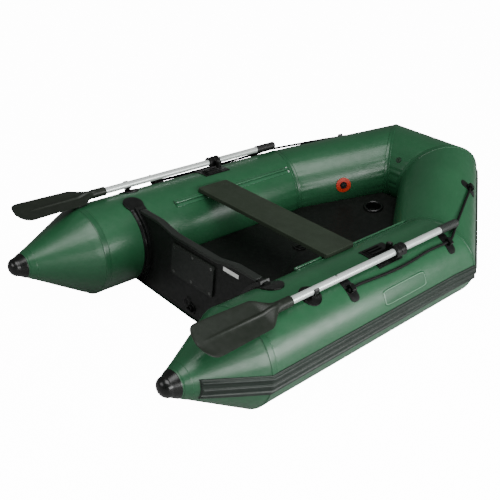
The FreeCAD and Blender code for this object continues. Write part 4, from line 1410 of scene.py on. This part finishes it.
# ------------------------------------------------------------------ grab lines
@dataclass
class GrabLine:
    """Braided line through three loops, taut from the first to the last."""

    side: Side
    diameter: float = 0.011

    def build(self) -> None:
        """Make the line along its route."""
        curve = bpy.data.curves.new("%s_grab_rope" % self.side.word, "CURVE")
        curve.dimensions = "3D"
        spline = curve.splines.new("NURBS")
        route = mirror(np.array(ROUTE), self.side)
        spline.points.add(len(route) - 1)
        homogeneous = np.concatenate([route, np.ones((len(route), 1))], axis=1)
        spline.points.foreach_set("co", homogeneous.astype(np.float32).ravel())
        spline.order_u = 3
        spline.use_endpoint_u = True
        spline.resolution_u = 12
        curve.bevel_depth = self.diameter / 2
        curve.bevel_resolution = 6
        curve.use_fill_caps = True
        curve.materials.append(Finishes.get(Finishes.ROPE))
        piece = bpy.data.objects.new(curve.name, curve)
        bpy.context.scene.collection.objects.link(piece)
        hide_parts("%s_grab_line" % self.side.word)
        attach(piece, "hull")
        log.info("%s", piece.name)


ROUTE = [
    (-0.3260, 0.5571, 0.3344), (-0.2880, 0.5525, 0.3364), (-0.2320, 0.5533, 0.3347),
    (-0.1500, 0.5586, 0.3308), (-0.0450, 0.5624, 0.3278), (0.0580, 0.5606, 0.3292),
    (0.1550, 0.5546, 0.3336), (0.2400, 0.5563, 0.3332), (0.2900, 0.5598, 0.3325),
    (0.3280, 0.5575, 0.3350), (0.3780, 0.5355, 0.3497), (0.4192, 0.5163, 0.3572),
    (0.4715, 0.4940, 0.3638), (0.5343, 0.4678, 0.3721), (0.5998, 0.4401, 0.3807),
    (0.6656, 0.4129, 0.3887), (0.7216, 0.3898, 0.3936), (0.7586, 0.3701, 0.3997),
]


# ------------------------------------------------------------------ studio
@dataclass(frozen=True)
class Studio:
    """Camera, pale floor and soft lights."""

    eye: tuple[float, float, float] = (-2.1947, -1.8413, 1.6590)
    yaw: float = 0.758
    pitch: float = 0.492
    roll: float = 0.091
    lens: float = 54.1
    glow: float = 14.0
    reach: float = 60.0
    rim_points: int = 96
    sky: float = 0.20
    target: tuple[float, float, float] = (0.0, 0.0, 0.2)

    def camera(self) -> None:
        """Place the camera: looking along yaw and down by pitch, then rolled about its view."""
        view = np.array([math.cos(self.pitch) * math.cos(self.yaw),
                         math.cos(self.pitch) * math.sin(self.yaw), -math.sin(self.pitch)])
        right0 = np.array([math.sin(self.yaw), -math.cos(self.yaw), 0.0])
        up0 = np.cross(right0, view)
        right = math.cos(self.roll) * right0 + math.sin(self.roll) * up0
        up = math.cos(self.roll) * up0 - math.sin(self.roll) * right0
        data = bpy.data.cameras.new("camera")
        data.lens = self.lens
        data.sensor_width = 36.0
        data.clip_end = 150.0
        camera = bpy.data.objects.new("camera", data)
        bpy.context.scene.collection.objects.link(camera)
        turn = Matrix([Vector(row) for row in np.stack([right, up, -view], axis=1)])
        camera.matrix_world = Matrix.Translation(Vector(self.eye)) @ turn.to_4x4()
        bpy.context.scene.camera = camera

    def floor(self) -> None:
        """A wide pale disc under the boat, whose own glow falls on nothing but itself."""
        angle = np.linspace(0, TAU, self.rim_points, endpoint=False)
        rim = self.reach * np.stack([np.cos(angle), np.sin(angle), np.zeros_like(angle)], axis=1)
        mesh = bpy.data.meshes.new("studio_floor")
        mesh.from_pydata(rim.tolist(), [], [list(range(self.rim_points))])
        finish = Finish("studio_white", (0.36, 0.36, 0.36), (0.35, 0.35, 0.35), 0.80, dust=0.0,
                        relief_strength=0.0)
        material = finish.build()
        shader = material.node_tree.nodes["Principled BSDF"]
        shader.inputs["Emission Color"].default_value = (1.0, 1.0, 1.0, 1.0)
        shader.inputs["Emission Strength"].default_value = self.glow
        mesh.materials.append(material)
        floor = bpy.data.objects.new("studio_floor", mesh)
        bpy.context.scene.collection.objects.link(floor)
        glow_on = bpy.data.collections.new("floor_glow_on")
        glow_on.objects.link(floor)
        floor.light_linking.receiver_collection = glow_on

    def lamp(self, name: str, place: tuple[float, float, float], size: tuple[float, float],
             watts: float) -> None:
        """Add a soft box that faces the studio's target.

        Args:
            name: Name of the lamp.
            place: Its position.
            size: Width and height.
            watts: Its power.
        """
        data = bpy.data.lights.new(name, "AREA")
        data.shape = "RECTANGLE"
        data.size, data.size_y = size
        data.energy = watts
        lamp = bpy.data.objects.new(name, data)
        bpy.context.scene.collection.objects.link(lamp)
        aim = Vector(self.target) - Vector(place)
        lamp.matrix_world = (Matrix.Translation(Vector(place))
                             @ aim.to_track_quat("-Z", "Y").to_matrix().to_4x4())

    def lights(self) -> None:
        """Bright surroundings, a long strip abeam, a box overhead and a weak box astern."""
        world = bpy.data.worlds.new("studio")
        world.use_nodes = True
        background = world.node_tree.nodes["Background"]
        background.inputs["Color"].default_value = (1.0, 1.0, 1.0, 1.0)
        background.inputs["Strength"].default_value = self.sky
        bpy.context.scene.world = world
        self.lamp("side_strip", (0.4, -3.7, 1.25), (5.2, 1.3), 330.0)
        self.lamp("overhead_box", (-1.0, -1.1, 4.1), (3.0, 3.0), 230.0)
        self.lamp("stern_box", (-4.0, 0.8, 1.6), (1.6, 1.2), 40.0)

    def build(self) -> None:
        """Make the whole studio."""
        self.camera()
        self.floor()
        self.lights()


def main() -> None:
    """Build the studio and every part of the boat, in order."""
    logging.basicConfig(level=logging.INFO, format="%(name)s: %(message)s")
    Studio().build()
    parts = [GrabLine(Side.PORT), GrabLine(Side.STARBOARD), Hull(), Transom(), AirFloor(),
             TubeValves(), Bench(), Oar(Side.PORT), Oar(Side.STARBOARD), DeckTrim(), SideBadge()]
    for part in parts:
        part.build()
        log.info("%s done", type(part).__name__)


if __name__ == "__main__":
    main()
